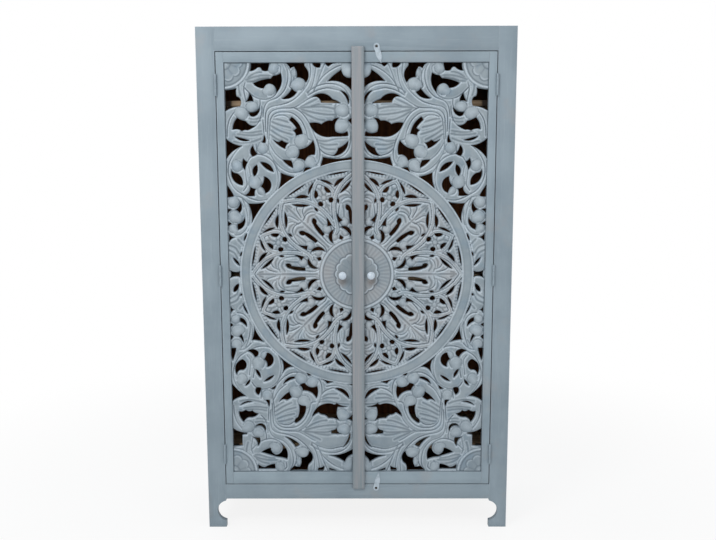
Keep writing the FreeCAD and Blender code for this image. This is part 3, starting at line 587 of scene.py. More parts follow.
# %% Pierced openings of the lower half, which the carver drew anew rather than traced
LOWER_OPENINGS = (
    ((3.4, -3.5), (3.2, -5.1), (2, -6.4), (1.6, -6.4), (1.4, -6), (2, -4.4)),
    ((4.4, -7), (4.6, -7.4), (4.4, -7.7), (4.1, -7.9), (3.8, -7.7), (4, -7.3)),
    ((4.7, -10.6), (5.7, -12.4), (6.5, -14.4), (5.2, -12.6)),
    ((0.4, -11.8), (0.9, -12.7), (1.6, -13), (0.9, -13.3), (0.4, -14.1), (0.3, -13)),
    ((3.6, -15.8), (5.3, -16.8), (5.9, -19.1), (4.8, -18), (3.6, -17.3), (3.5, -16.6)),
    ((0, -17.9), (0.6, -18.1), (1, -18.5), (0.6, -18.8), (0, -19.1), (0, -18.5)),
    ((3.8, -21.8), (4.5, -23.3), (4.7, -25.1), (3.9, -23.7), (3, -22.6), (3.5, -22.3)),
    ((0, -22), (0.6, -22.4), (1, -22.8), (0.6, -23.3), (0, -23.9), (0, -23)),
    ((0, -27), (1, -27), (1.9, -27), (1.4, -29.3), (0.6, -31.5), (0, -29.3)),
    ((8.6, -19.2), (9.9, -22.2), (12, -24.8), (9.9, -24.2), (7.7, -24), (8.4, -21.7)),
    ((6, -28.1), (8.2, -27.5), (9.8, -28.3), (9.7, -29.7), (8.6, -30.4), (7.6, -29)),
    ((13, -28.7), (15.3, -31.8), (13, -34), (12.9, -32.4), (11.9, -31.2), (12.6, -30)),
    ((2, -36.9), (1.5, -33.8), (4.1, -31.2), (5.5, -33), (4.2, -35.2), (2.9, -35.3)),
    ((8.8, -34.8), (9.9, -35.6), (10.5, -38), (9.3, -36.6)),
    ((15.4, -37.1), (13.9, -38.7), (11.8, -39.4), (13.3, -38)),
    ((6.7, -38.7), (6.3, -40.1), (5, -41), (5.6, -39.7)),
    ((0, -40.2), (2.4, -42.8), (5.1, -44.9), (2.4, -45.4), (0, -46.8), (0, -43.5)),
    ((8.9, -41.8), (9.8, -41.6), (10.7, -41.9), (10.3, -43.3), (9.7, -44.5), (8.6, -43.3)),
    ((16, -40.9), (15.8, -41.8), (15.3, -42.4), (14.7, -42.3), (14.2, -42), (15.2, -41.5)),
    ((17.7, -30.4), (20, -32.3), (22.5, -33.9), (20.2, -34.5), (18.6, -36.2), (18.9, -33.2)),
    ((22.8, -37.7), (22.9, -38), (22.8, -38.3), (20.8, -39.1), (18.8, -40.4), (20.6, -38.1)),
    ((27.2, -36), (28.2, -36.4), (29.2, -36.9), (28.6, -37.2), (28, -37.3), (27.5, -36.7)),
    ((32.2, -38), (34.7, -38.9), (37.1, -39.3), (35.9, -39.9), (34.7, -40.2), (33.6, -39)),
    ((42.5, -40.2), (43.2, -40.2), (44, -40.3), (44, -40.7), (44, -41), (43.3, -40.6)),
    ((24.7, -40.9), (25.5, -40.3), (26.5, -40), (28.3, -41.5), (31, -41.2), (31.3, -43.6),
     (30.7, -45.8), (28.8, -43.6), (25.9, -42.9), (25.5, -41.8)),
    ((20.9, -43.3), (21.2, -44.4), (21.8, -45.3), (20.9, -46), (19.9, -46.5), (18.6, -46.2),
     (17.1, -47.1), (18.8, -44.9)),
    ((12.2, -46.4), (12.9, -46.3), (13.6, -46.4), (13.7, -47.7), (13.4, -48.9), (12.9, -47.6)),
    ((3, -48.3), (5.1, -46.9), (7.5, -47), (5.1, -47.5)),
    ((2.4, -50.6), (3.7, -50.7), (4.8, -50.1), (5.9, -50.6), (7.3, -50.3), (8.2, -51.1),
     (9.5, -51.5),
     (8, -52.7), (6.2, -52.9), (4.9, -53.5), (4.1, -54.7), (2.8, -52.9)),
    ((8.4, -56.4), (10.9, -55.4), (11.8, -58.2), (10.4, -56.3)),
    ((0, -57), (2.4, -58.3), (5.1, -58.8), (5.2, -59.1), (4.8, -59.3), (4, -59.4), (3.4, -59.6),
     (3.4, -61.5), (3.4, -63.6), (1.8, -63.8), (0, -63.8), (0, -60.4)),
    ((7.2, -60.3), (8.5, -60.6), (9.8, -60.6), (9.9, -62.3), (9.1, -63.8), (8.6, -61.8)),
    ((10.3, -66.2), (12.1, -65.1), (13.8, -64.5), (14.3, -66.3), (15.7, -67.2), (17.4, -66.4),
     (17.7, -62.9), (19.7, -65.6), (19.7, -68.9), (17.9, -68.3), (15.8, -68), (13, -67.1)),
    ((9.1, -70.9), (10.2, -71.7), (11.6, -72), (13.3, -71.1), (15.1, -70.7), (15.3, -71.6),
     (15.2, -72.6), (12.2, -72.6), (9.2, -72.6), (9.1, -71.8)),
    ((19.2, -60.3), (22.1, -61.4), (24.4, -63.3), (23.7, -63.9), (22.8, -64.2), (21.4, -62.2)),
    ((24.8, -68.2), (26, -68.2), (27.1, -67.7), (27.6, -66.8), (27.9, -65.8), (29.1, -68.8),
     (27.7, -70.8), (27.3, -72), (27.4, -73.4), (24, -73.4), (20.7, -73.4), (21.5, -72.3),
     (22.5, -71.5), (23.4, -71.8), (24.4, -71.7), (25, -70)),
    ((24.4, -48), (25.6, -48.5), (26.8, -48.6), (26.1, -52.3), (23.6, -54.9), (22.9, -55),
     (22.7, -54.4), (23.1, -53.5), (23.9, -52.9), (24.5, -50.5)),
    ((29.2, -52.6), (31.4, -49), (36.6, -47.9), (37.4, -48.1), (38, -47.6), (39.8, -48.5),
     (41.9, -48.9), (40.1, -49.1), (38.5, -49.1), (38.1, -51.6), (39.1, -54.1), (37.1, -53.4),
     (35, -53.3), (34.2, -52.4), (33.4, -52), (32.3, -51.8), (31.5, -51.1), (30.3, -51.8)),
    ((37.5, -42.1), (41, -42.7), (42.7, -45.9), (40.4, -43.9)),
    ((44, -51.7), (44, -53.2), (44, -54.7), (43.1, -53.9), (41.9, -53.5), (43.1, -52.8)),
    ((36.2, -58), (37.3, -57.7), (38, -57.1), (38.6, -58.6), (40, -59.2), (38.1, -59.3),
     (36.2, -59.1), (36, -58.6)),
    ((42.9, -58.9), (42.6, -61.9), (40.3, -64.2), (42, -61.6)),
    ((35.3, -67.4), (40, -66.9), (44, -65), (44, -66.1), (44, -67.1), (42, -68.2), (41, -70),
     (38.3, -68.4)),
    ((31.2, -73.4), (31.1, -72.8), (31.4, -72.2), (32.4, -72.1), (33.3, -71.5), (33.3, -72.4),
     (33, -73.4), (32.1, -73.4)),
    ((35.3, -72.3), (36.5, -72.7), (37.7, -73.3), (36.5, -73.3), (35.3, -73), (35.2, -72.6)),
)
print("openings below the middle:", len(LOWER_OPENINGS))

# %% [markdown]
# The medallion repeats eight times. Its shapes are given along and across an axis, and stand on
# both sides of it: some on the axes of the arches, some on the axes of the kites between them.

# %% Openings of the medallion
ARCH_OPENINGS = (
    ((25.3, 3.5), (24.4, 3.9), (23.2, 2.9), (20.9, 2.6), (18.4, 2.3), (18.3, 1.7), (18.4, 1.2),
     (21.3, 1.3), (23.7, 2), (24.9, 2.6)),
    ((22, 7), (20.4, 6.8), (18.8, 6.3), (19.2, 5.7), (19.7, 5), (20.7, 6.1)),
    ((29.5, 5.9), (31.4, 4.5), (33.9, 1.9), (31.2, 3.4)),
    ((31.7, 7.9), (33.9, 6.8), (34.8, 4.3), (33, 6)),
    ((17.2, 5.7), (17, 3), (13.9, 2.1), (15.9, 3.6)),
    ((37.2, 3.2), (36.9, 6.6), (35.9, 10), (36.3, 6.6)),
    ((27.6, 6.6), (26.6, 6.9), (25.8, 6.4), (26.7, 6.2)),
)
KITE_OPENINGS = (
    ((33.7, 1.8), (32.5, 2.7), (31.1, 3), (31.2, 2), (32, 1.5), (32.9, 1.4)),
    ((29.2, 1.6), (29.1, 2.6), (28, 2.7), (27.5, 2), (27.8, 1.2), (28.5, 1.2)),
    ((36.4, 1.3), (35.4, 3.2), (33.2, 4.6), (34.5, 3)),
)
KITE_CENTRE_OPENING = ((15.5, 0), (14.3, 0.8), (13.6, 0), (14.3, -0.8))
print("shapes that repeat:", len(ARCH_OPENINGS) + len(KITE_OPENINGS))

# %% [markdown]
# Between the openings, the carver ran a V tool along the lines where one stem passes another,
# and a finer one down the leaves. Each line here is a few places that a smooth curve goes
# through. The lower half follows the same lines turned over, as the real one nearly does.

# %% Lines of the V tool, upper half
STEM_LINES = (
    ((6.6, 65.3), (9.1, 62.8), (11.6, 61.3), (14.6, 61), (17.1, 62.1), (18.2, 63.6)),
    ((13.2, 55), (13.6, 58), (15, 60.2), (18.5, 61.8), (20.8, 64.3), (21.9, 67.5), (21.9, 70.5),
     (20.9, 72.8)),
    ((19.4, 70), (19.6, 71.8), (18.4, 72.8)),
    ((21.6, 72.5), (22.9, 70.3), (23.2, 67.8), (22.6, 65.3), (23.3, 64.7)),
    ((7.2, 66.6), (6.7, 64.5), (7.0, 62.5), (7.4, 60.3)),
    ((12.2, 61.2), (12.3, 59.6), (12, 58.3)),
    ((12.9, 58.6), (12.8, 56.8), (12.4, 55), (11.6, 53.2), (10.6, 52.1)),
    ((13.1, 54), (13.3, 51.5), (13.4, 48.9)),
    ((0.6, 48.2), (0.8, 51.5), (1.7, 54.5), (3.4, 56.9)),
    ((14.1, 50), (14, 54), (14.4, 57), (16.2, 58.5), (19.5, 59.2), (23, 60.4), (26.2, 62.9),
     (28.6, 66), (29.8, 69.5), (29.6, 73)),
    ((28.8, 62.8), (30.4, 65.8), (31.2, 69), (31.6, 71.9)),
    ((31.6, 65.3), (32.8, 68.5), (33.8, 71), (34.8, 73.2)),
    ((14.6, 47.5), (14.8, 52), (15.1, 55.2), (16.6, 57.1), (19.5, 57.9), (23.8, 58.2),
     (26.6, 59.6), (28.6, 60.9), (30.1, 61.7)),
    ((23.8, 58.2), (26.2, 56.8), (28, 54.8), (29.2, 52.9)),
    ((15.2, 43), (14.9, 45.5), (15.3, 48.5), (15.5, 52), (16, 54.6), (17.6, 56.2), (20.2, 56.7),
     (23.6, 56.2), (26.4, 53.8), (28, 50.5), (28.8, 47.5), (30.4, 47)),
    ((17, 55), (19, 55.6), (21, 55.4), (22.4, 54.4)),
    ((30.8, 63.8), (33, 67.5), (36, 70.3), (39.5, 72.2), (43.5, 72.9)),
    ((28.5, 63.3), (31.5, 65.2), (35, 66.2), (38.5, 66), (41.5, 64.4), (43.3, 61.5), (43.8, 58.5)),
    ((28.9, 62.3), (32, 64), (35.5, 64.8), (38.3, 64.3), (40, 63.9)),
    ((31.2, 48.2), (32.3, 45.5), (32.8, 42), (32, 39), (30, 37.9)),
    ((31.8, 47.4), (32.6, 44.4), (34.4, 42.6), (37.1, 41.7)),
    ((43.4, 50.4), (43.5, 47), (42.6, 43.6), (40.6, 41.6), (37.6, 40.9), (34.4, 41.2)),
    ((15.1, 46.2), (16.9, 43), (18.4, 41.4), (19.8, 40.3)),
    ((14.9, 44), (16.3, 40.8), (18.8, 37.9), (21.8, 36.1), (24.4, 35.9), (26.4, 36.4)),
    ((14.6, 42.5), (15.9, 41.6), (17.2, 38.6), (18.6, 36.2)),
    ((5.4, 45.2), (3.2, 42.8), (1.2, 39.5), (0.7, 36), (1.6, 32.5), (3.4, 29.8), (6.2, 28)),
    ((7.5, 39.6), (8.6, 41.2), (10.9, 42.2), (13.8, 41.6), (16.4, 39.6), (17.8, 36.4), (18.1, 33),
     (17.2, 29.6), (15.2, 27.2), (12.2, 26.2), (9.2, 26.6), (6.2, 28)),
    ((7.9, 37.9), (8.3, 35.6), (8.4, 33.4), (7.9, 31.4)),
    ((6.6, 36.8), (6.9, 34), (7.1, 31.5), (5.9, 29.6)),
    ((5.4, 26.8), (6.6, 23.4), (7.2, 19.8), (6.7, 16.6), (4.8, 14.4), (2.6, 13.9)),
    ((2.8, 27.6), (5.2, 27.2), (7.4, 25.1)),
    ((10.6, 45.6), (10.9, 42.4)),
    ((29.5, 52.3), (30.6, 49.6), (31.2, 48.2)),
)
print("stem lines:", len(STEM_LINES))

# %% Lines of the fine tool on the leaves, upper half
LEAF_LINES = (
    ((7.6, 67.6), (10, 68.4), (13, 69), (16, 69)),
    ((8.4, 68.4), (10.5, 69.7), (13, 70.3)),
    ((8.2, 67), (10, 67.1), (12.5, 67.9), (15.3, 68.3)),
    ((16.2, 53.4), (19.2, 52.2), (22.6, 51.4)), ((15.9, 52), (19.2, 50.2), (23.2, 49)),
    ((15.8, 50.6), (18.4, 48.8), (21.6, 47.2)), ((15.6, 49), (17.2, 47.9), (18.8, 46.9)),
    ((16.8, 54.4), (19.2, 54), (22, 53.2)),
    ((24.6, 57.9), (29, 58.3), (34, 58.4), (38.2, 57.7)),
    ((26.6, 57.5), (31, 56.4), (35, 55.8), (38.3, 55.7)),
    ((26.8, 56.8), (29.6, 55.2), (32.5, 54.1), (34.5, 53.9)),
    ((26.4, 58.6), (29.4, 59.9), (32, 61.2)), ((30, 58.6), (33.4, 59.4), (37, 59.3)),
    ((38.4, 59.4), (38.1, 57.5), (38.6, 55.2)),
    ((31.8, 47), (35, 46.7), (38.5, 47.6), (42.4, 47.8)), ((32.3, 46.2), (35, 45.4), (38.8, 45.6)),
    ((32.8, 45.2), (35.2, 44), (38.2, 43.9)),
    ((12.6, 50.2), (9, 49.7), (5.2, 50)), ((12.8, 49.2), (9, 48.7), (4.4, 49.2)),
    ((12.4, 47.6), (9.5, 46.6), (6, 46.2), (3, 46.6)), ((12.6, 54.8), (10.4, 54.3), (8.4, 54.6)),
    ((12.4, 53.8), (10.5, 53.2), (8.8, 53.3)),
    ((8, 24.6), (8, 20.8), (7.4, 17.4)), ((3.8, 26.8), (5.9, 24)), ((0.4, 10.4), (2.6, 9.4),
     (3.8, 7.4)),
    ((0.4, 8.6), (2.4, 7.4), (3.2, 5.6)), ((3.6, 12.4), (5.4, 10.4)),
    ((17, 72.6), (16.6, 70.8), (17.4, 69.4)), ((23.8, 71.4), (24, 69.6), (23.8, 67)),
    ((4.9, 66.4), (5, 64.6), (5.6, 62.2)), ((37.6, 52.7), (38.2, 55)), ((43, 56.4), (43.6, 55)),
)
# Scroll ends: place, radius, and the angle on which the stem runs into the ball
BALLS = (
    (15.6, 64.4, 2.1, 215), (25.7, 66.2, 2.2, 200), (9.2, 58.4, 1.9, 20), (5.9, 56.2, 2.2, 150),
    (40, 51.9, 2.4, 20), (12.9, 44.3, 1.9, 90), (23.4, 43.2, 2.2, 215), (26.2, 46.7, 2.3, 45),
    (25.4, 38.3, 2.1, 225), (29.3, 39.6, 2, -45), (3.9, 38.2, 1.9, 120), (9.9, 32.4, 2.3, 100),
    (12.3, 29.6, 1.5, -45), (2.2, 25.6, 2, 80), (2.6, 20.5, 2.2, -25), (2, 16.3, 1.6, -45),
    (40.9, 57.2, 2.2, 180), (42.8, 70.5, 2.6, 120), (17, 71.4, 1.8, 60), (24.4, 70, 1.3, 240),
)
print("leaf lines:", len(LEAF_LINES), "scroll ends:", len(BALLS))

# %% Lines of the medallion
RIBBON_HALF = 0.74
ARCH_RIBBON = ((36.9, 0.6), (35.2, 3), (32.6, 5.5), (29, 7.3), (25, 8), (21, 7.75), (18.4, 7.1),
               (16.2, 7), (14.6, 7.6))
KITE_RIBBON = ((36.4, 0), (35.3, 1.3), (34, 2.4), (32.6, 3.3), (31, 3.7), (29.2, 3.2))
ARCH_STEMS = (
    ((17.6, 5), (19.2, 6.1), (22, 6.4), (25, 6), (27.2, 4.8), (27.9, 2.8), (27.2, 0.6)),
    ((13.4, 1.6), (15.2, 1), (18.4, 1.2)),
    ((27.4, 1.6), (29.6, 2.6), (30.6, 4.6)), ((28.4, 0.7), (31.4, 1.6), (32.6, 2.8)),
)
ARCH_LEAVES = (
    ((25.4, 0), (30, 0), (35.4, 0)), ((25.6, 1.2), (26.6, 3), (25.8, 5.2)),
    ((28.6, 2.6), (28.8, 4.4), (28, 6)), ((20.6, 4.4), (23.4, 4.5), (25, 4.8)),
    ((14, 0), (16.4, 0), (18.8, 0), (22, 0.1), (25, 0)), ((33.4, 1), (34.6, 0.6)), ((13.4, 2),
     (15.6, 2.3), (17.8, 2.4)),
)
KITE_LEAVES = (((24.4, 0), (27, 0)), ((34.2, 0.9), (32.9, 0)), ((26.6, 0.8), (27.6, 0)))
RIM_BALLS = ((15.3, 4, 1.3, None), (19, 4.2, 1.5, 15))
print("medallion lines:", 2 * (len(ARCH_STEMS) + len(ARCH_LEAVES) + len(KITE_LEAVES)))

# %% [markdown]
# ## The carving: the relief
# A pierced relief is awkward to shape by hand tools in edit mode, so the front is made as a
# height map instead. Points are spread over the panel, the outlines and tool lines are fixed as
# edges, and the sheet is triangulated with the openings left out. Then every point is
# raised: it is low at an opening and in a cut, and swells to a round back between them.

# %% Curves of the drawing
def spot(u, v):
    """A place on the squares as millimetres across and up."""
    return SIGHT_OUTER + u * SQUARE_X, MIDDLE + v * SQUARE_Z


def on_axis(out, across, angle, side):
    """A place along and across an axis of the medallion, on the given side of it."""
    turn = math.radians(angle)
    x = out * math.cos(turn) - side * across * math.sin(turn)
    z = out * math.sin(turn) + side * across * math.cos(turn)
    return x * SQUARE_X, MIDDLE + z * SQUARE_Z * SQUASH


def between(a, b, n):
    """The places of n equal steps from a towards b, without b."""
    return [(a[0] + (b[0] - a[0]) * i / n, a[1] + (b[1] - a[1]) * i / n) for i in range(n)]


def arc(a, b, c, step):
    """Places on the circle through three places, from a up to but without c."""
    (ax, az), (bx, bz), (cx, cz) = a, b, c
    chord = math.hypot(cx - ax, cz - az)
    twice = 2 * ((bx - ax) * (cz - az) - (bz - az) * (cx - ax))
    if abs(twice) < 0.03 * chord * chord:
        return between(a, c, max(1, round(chord / step)))
    d2, e2 = (bx - ax) ** 2 + (bz - az) ** 2, (cx - ax) ** 2 + (cz - az) ** 2
    mx = ax + ((cz - az) * d2 - (bz - az) * e2) / twice
    mz = az + ((bx - ax) * e2 - (cx - ax) * d2) / twice
    radius = math.hypot(ax - mx, az - mz)
    start, way, end = (math.atan2(p[1] - mz, p[0] - mx) for p in (a, b, c))
    sweep = (end - start) % math.tau
    if (way - start) % math.tau > sweep:
        sweep -= math.tau
    n = max(2, round(abs(sweep) * radius / step))
    return [(mx + radius * math.cos(start + sweep * i / n),
             mz + radius * math.sin(start + sweep * i / n)) for i in range(n)]


def outline(places, step):
    """All sides of an opening as one closed row of places."""
    row = []
    for i in range(0, len(places), 2):
        row += arc(places[i], places[i + 1], places[(i + 2) % len(places)], step)
    return row


def smooth_line(places, step):
    """A smooth curve through the given places."""
    padded = [places[0]] + list(places) + [places[-1]]
    row = []
    for p0, p1, p2, p3 in zip(padded, padded[1:], padded[2:], padded[3:]):
        n = max(1, round(math.dist(p1, p2) / step))
        for i in range(n):
            t = i / n
            row.append(tuple(0.5 * (2 * b + (c - a) * t + (2 * a - 5 * b + 4 * c - d) * t * t
                                    + (3 * b - a - 3 * c + d) * t ** 3)
                             for a, b, c, d in zip(p0, p1, p2, p3)))
    return row + [places[-1]]


def oval(out, step, start=90, sweep=180):
    """A round line about the middle of the medallion, in squares from it."""
    n = max(8, round(out * SQUARE_X * math.radians(sweep) / step))
    return [on_axis(out, 0, start + sweep * i / n, 1) for i in range(n + 1)]


def beside(line, shift):
    """The same line moved sideways."""
    row = []
    for i, (x, z) in enumerate(line):
        (ax, az), (bx, bz) = line[max(0, i - 1)], line[min(len(line) - 1, i + 1)]
        size = math.hypot(bx - ax, bz - az) or 1.0
        row.append((x - (bz - az) / size * shift, z + (bx - ax) / size * shift))
    return row


print("curve helpers ready")

# %% Collect the openings and the tool lines
STEP = 3.0
HALF = RIBBON_HALF * SQUARE_X
KNOB_X, KNOB_Z, BOLT_HOLE = -50.5, 944.0, 2.1
KITE_CENTRE, KITE_BEAD, KITE_RAYS = 30, 0.95, (1.2, 2, 2.9)
openings, stems, leaves, balls, front_ribbons, back_ribbons = [], [], [], [], [], []


def circle_place(middle, radius, turn):
    return middle[0] + radius * math.cos(turn), middle[1] + radius * math.sin(turn)


def add_medallion(angle, side, arch):
    """Collect the shapes on one side of one axis of the medallion."""
    def placed(line):
        return [on_axis(out, across, angle, side) for out, across in line]

    def smoothed(lines):
        return [smooth_line(placed(line), STEP) for line in lines]

    shapes = ARCH_OPENINGS if arch else KITE_OPENINGS
    openings.extend(outline(placed(shape), STEP) for shape in shapes)
    ribbons = front_ribbons if arch and side > 0 else back_ribbons
    ribbons.extend(smoothed([ARCH_RIBBON if arch else KITE_RIBBON]))
    leaves.extend(smoothed(ARCH_LEAVES if arch else KITE_LEAVES))
    if arch:
        stems.extend(smoothed(ARCH_STEMS))
        balls.extend((*on_axis(out, across, angle, side), r * SQUARE_X,
                      None if mouth is None else math.radians(angle + side * mouth))
                     for out, across, r, mouth in RIM_BALLS)


def add_kite_centre(angle):
    """Collect the small opening, the bead and its eight rays on an axis of the kites."""
    openings.append([on_axis(out, across, angle, 1) for out, across in KITE_CENTRE_OPENING])
    centre = on_axis(KITE_CENTRE, 0, angle, 1)
    balls.append((*centre, KITE_BEAD * SQUARE_X, None))
    for k in range(8):
        turn = k * math.tau / 8 + math.radians(angle)
        leaves.append([circle_place(centre, r * SQUARE_X, turn) for r in KITE_RAYS])


for shape in UPPER_OPENINGS + LOWER_OPENINGS:
    openings.append(outline([spot(*p) for p in shape], STEP))
for half in (1, -1):
    for made, lines in ((stems, STEM_LINES), (leaves, LEAF_LINES)):
        made += [smooth_line([spot(u, v * half) for u, v in line], STEP) for line in lines]
    balls += [(*spot(u, v * half), r * SQUARE_X, math.radians(mouth * half))
              for u, v, r, mouth in BALLS]
for i in range(9):
    angle, arch = 90 + i * 22.5, i % 2 == 0
    for side in (1, -1):
        past_the_strip = (i == 0 and side < 0) or (i == 8 and side > 0)
        if not past_the_strip:
            add_medallion(angle, side, arch)
    if not arch:
        add_kite_centre(angle)
openings.append([circle_place((KNOB_X, KNOB_Z), BOLT_HOLE, k * math.tau / 12) for k in range(12)])
print("openings:", len(openings), "balls:", len(balls))

# %% Edges of the ribbons, and only what is in sight
over = [p for ribbon in front_ribbons for p in ribbon]
ribbon_edges = [beside(ribbon, shift) for ribbon in front_ribbons for shift in (HALF, -HALF)]
for ribbon in back_ribbons:
    for row in (beside(ribbon, HALF), beside(ribbon, -HALF)):
        clear = [min(math.dist(p, q) for q in over) > HALF + 1 for p in row]
        ribbon_edges.append(row[:clear.index(False)] if False in clear else row)


def in_sight(x, z, margin):
    """Whether a place lies in the carved field, at least margin millimetres from its edge."""
    return (SIGHT_OUTER + margin <= x <= SIGHT_INNER - margin
            and SIGHT_BOTTOM + margin <= z <= SIGHT_TOP - margin)


stems, leaves, ribbon_edges = ([[p for p in line if in_sight(*p, -0.01)] for line in lines]
                               for lines in (stems, leaves, ribbon_edges))
print("tool lines:", len(stems) + len(leaves), "ribbon edges:", len(ribbon_edges))

# %% Round rims: the ring, the disc and the corner rosettes
RING_OUTER, RING_INNER, DISC, HEART, CORNER = 41.5, 37.4, 13.2, 7.7, 8.9
TOOTH_COUNT, TOOTH_FROM, TOOTH_TO = 96, 36.4, 37.1
DISC_LINES, CORNER_LINES = (12.6, 12.05, 11.9), (0.1, -0.15, -0.6, -1.2)
rims = [oval(r, STEP) for r in (RING_OUTER, RING_INNER, DISC)]
crisp = [oval(r, STEP) for r in DISC_LINES]
teeth = []
for k in range(TOOTH_COUNT):
    angle = 90 + (k + 0.5) * 180 / TOOTH_COUNT
    teeth.append([on_axis(r, 0, angle, 1) for r in (TOOTH_FROM, TOOTH_TO)])
for top in (1, -1):
    corner = spot(0, SQUARES_UP / 2 * top)
    for r in (CORNER + shift for shift in CORNER_LINES):
        n = max(6, round(r * SQUARE_X * math.pi / 2 / STEP))
        crisp.append([circle_place(corner, r * SQUARE_X, -top * a * math.pi / 2 / n)
                      for a in range(n + 1)])
print("rims:", len(rims), "crisp arcs:", len(crisp), "teeth:", len(teeth))

# %% [markdown]
# To raise a point, its distance to the nearest opening, stem line and leaf line is needed. A
# search tree over points along those lines gives it quickly. Each distance turns into a height by
# the section that the tool leaves: a quarter round beside an opening, a V for a stem line.

# %% Distance trees
BALL_CLOSED = 0.75


def dense(rows, closed, gap=0.8):
    """Close-set points along rows of places."""
    made = []
    for row in rows:
        ends = row[1:] + row[:1] if closed else row[1:]
        for a, b in zip(row, ends):
            made += between(a, b, max(1, math.ceil(math.dist(a, b) / gap))) + [b]
    return made


def tree_of(points):
    """A search tree over points of the panel."""
    tree = KDTree(len(points))
    for i, (x, z) in enumerate(points):
        tree.insert((x, z, 0), i)
    tree.balance()
    return tree


def rim_of(x, z, r, mouth):
    """The rim of a ball, open where its stem runs in."""
    turns = [k * math.tau / 36 for k in range(36)]
    return [circle_place((x, z), r, turn) for turn in turns
            if mouth is None or math.cos(turn - mouth) < BALL_CLOSED]


opening_tree = tree_of(dense(openings, True))
stem_tree = tree_of(dense(stems + ribbon_edges, False)
                    + [p for ball in balls for p in rim_of(*ball)])
front_tree = tree_of(dense(front_ribbons, False))
back_tree = tree_of(dense(back_ribbons, False))
leaf_tree = tree_of(dense(leaves + teeth, False))
ball_tree = tree_of([ball[:2] for ball in balls])
print("distance trees ready")


# %% Sections that the tools leave
def swell(distance, width):
    """0 at the line, 1 at the given width and beyond, a quarter round between."""
    t = min(distance / width, 1.0)
    return math.sqrt(1 - (1 - t) ** 2)


def valley(distance, width):
    """1 on the line, 0 at the given width and beyond, with a soft bottom edge."""
    t = max(0.0, 1 - distance / width)
    return t * t * (1.6 - 0.6 * t)


def mound(distance, width):
    """Like swell, but the back stays a little pointed, as a tool leaves it."""
    return 0.5 * swell(distance, width) + 0.5 * min(distance / width, 1.0)


def step_up(value, edge, soft):
    """0 below the edge, 1 above it, and a straight slope of the soft width between."""
    return min(1.0, max(0.0, (value - edge) / soft + 0.5))


def bead(value, middle, half):
    """1 at the middle and 0 from half a width away, round between."""
    return max(0.0, 1 - ((value - middle) / half) ** 2)


print("halfway across each section:", swell(1, 2), valley(1, 2), round(mound(1, 2), 3))


# %% Height of the flat rings, the disc and the corner rosettes
# Each form gives its height, its cut: painted shade in grooves, and its ridge: painted highlight on
# beads.
RING_HEIGHT, RING_ARRIS, RING_LINES, LINE_HALF = 4.6, 0.6, (38.3, 40.6), 0.22
DISC_HEIGHT, DISC_RIM, DISC_GROOVE, BAND_FROM, BAND_TO = 3.3, 12.65, 11.98, 8.4, 11.2
FLUTES, PETALS, HEART_HEIGHT, VEIN_FROM = 48, 16, 5.0, 3.4
CORNER_HEIGHT, CORNER_PETALS, FLOWER, BOSS = 2.6, 5, 5.2, 2.3


def ring_form(out):
    """Height of the flat ring, painted shade in its two lines, and how pale its arrises are:
    rubbed wear and painted highlight.
    """
    arris = max(0.0, 1 - min(out - RING_INNER, RING_OUTER - out) / RING_ARRIS)
    lines = sum(bead(out, line, LINE_HALF) for line in RING_LINES)
    height = RING_HEIGHT - 1.2 * arris ** 2 - 0.45 * lines
    return height, 0.3 * lines, 0.75 * bead(arris, 0.5, 0.5)


def disc_form(out, turn):
    """A beaded rim, a band of 48 round-ended flutes, and a lobed heart of 16 petals."""
    flute = abs(math.sin(FLUTES / 2 * turn))
    band = step_up(out, BAND_FROM, 0.3) * (1 - step_up(out, BAND_TO + 0.55 * flute, 0.25))
    lobe = abs(math.cos(PETALS / 2 * turn))
    edge = HEART - 0.55 + 0.6 * lobe ** 0.7
    heart = 1 - step_up(out, edge, 0.25)
    rim, groove = bead(out, DISC_RIM, 0.5), bead(out, DISC_GROOVE, 0.28)
    height = DISC_HEIGHT + 1.6 * rim - 0.9 * groove + band * (0.8 * flute ** 0.6 - 0.6)
    height -= 1.0 * bead(out, edge + 0.3, 0.4) * (1 - heart)
    heart_height = HEART_HEIGHT + 0.35 * bead(out, edge - 0.4, 0.35)
    height = height * (1 - heart) + heart_height * heart
    vein = (1 - lobe) ** 6 * step_up(out, VEIN_FROM, 1.5) * heart
    cut = max(0.5 * groove, 0.15 * band * (1 - flute) ** 2, 0.6 * bead(out, edge + 0.22, 0.3),
              0.3 * vein)
    ridge = max(0.8 * rim, 0.8 * bead(out, edge - 0.3, 0.35), 0.18 * band * flute ** 4)
    return height - 0.5 * vein, cut + 0.1, ridge


def corner_form(out, turn):
    """A beaded rim round a quarter flower of five petals with a round boss."""
    petal = abs(math.cos(CORNER_PETALS * turn)) ** 0.6
    edge = FLOWER + 1.2 * petal
    flower = 1 - step_up(out, edge, 0.3)
    rim, groove = bead(out, CORNER - 0.45, 0.4), bead(out, CORNER - 1.15, 0.35)
    boss = math.sqrt(max(0.0, 1 - (out / BOSS) ** 2))
    height = CORNER_HEIGHT + 1.4 * rim - 0.9 * groove + 1.2 * boss
    height += flower * (0.9 + 0.5 * petal - 0.4 * (1 - petal))
    cut = max(0.6 * groove, 0.6 * bead(out, edge + 0.2, 0.3), 0.5 * flower * (1 - petal) ** 2,
              0.6 * bead(out, 2.4, 0.3))
    ridge = max(0.85 * rim, 0.5 * bead(out, edge - 0.3, 0.35), 0.5 * boss ** 3)
    return height, cut, ridge


print("ring and disc in mm:", RING_HEIGHT, DISC_HEIGHT)


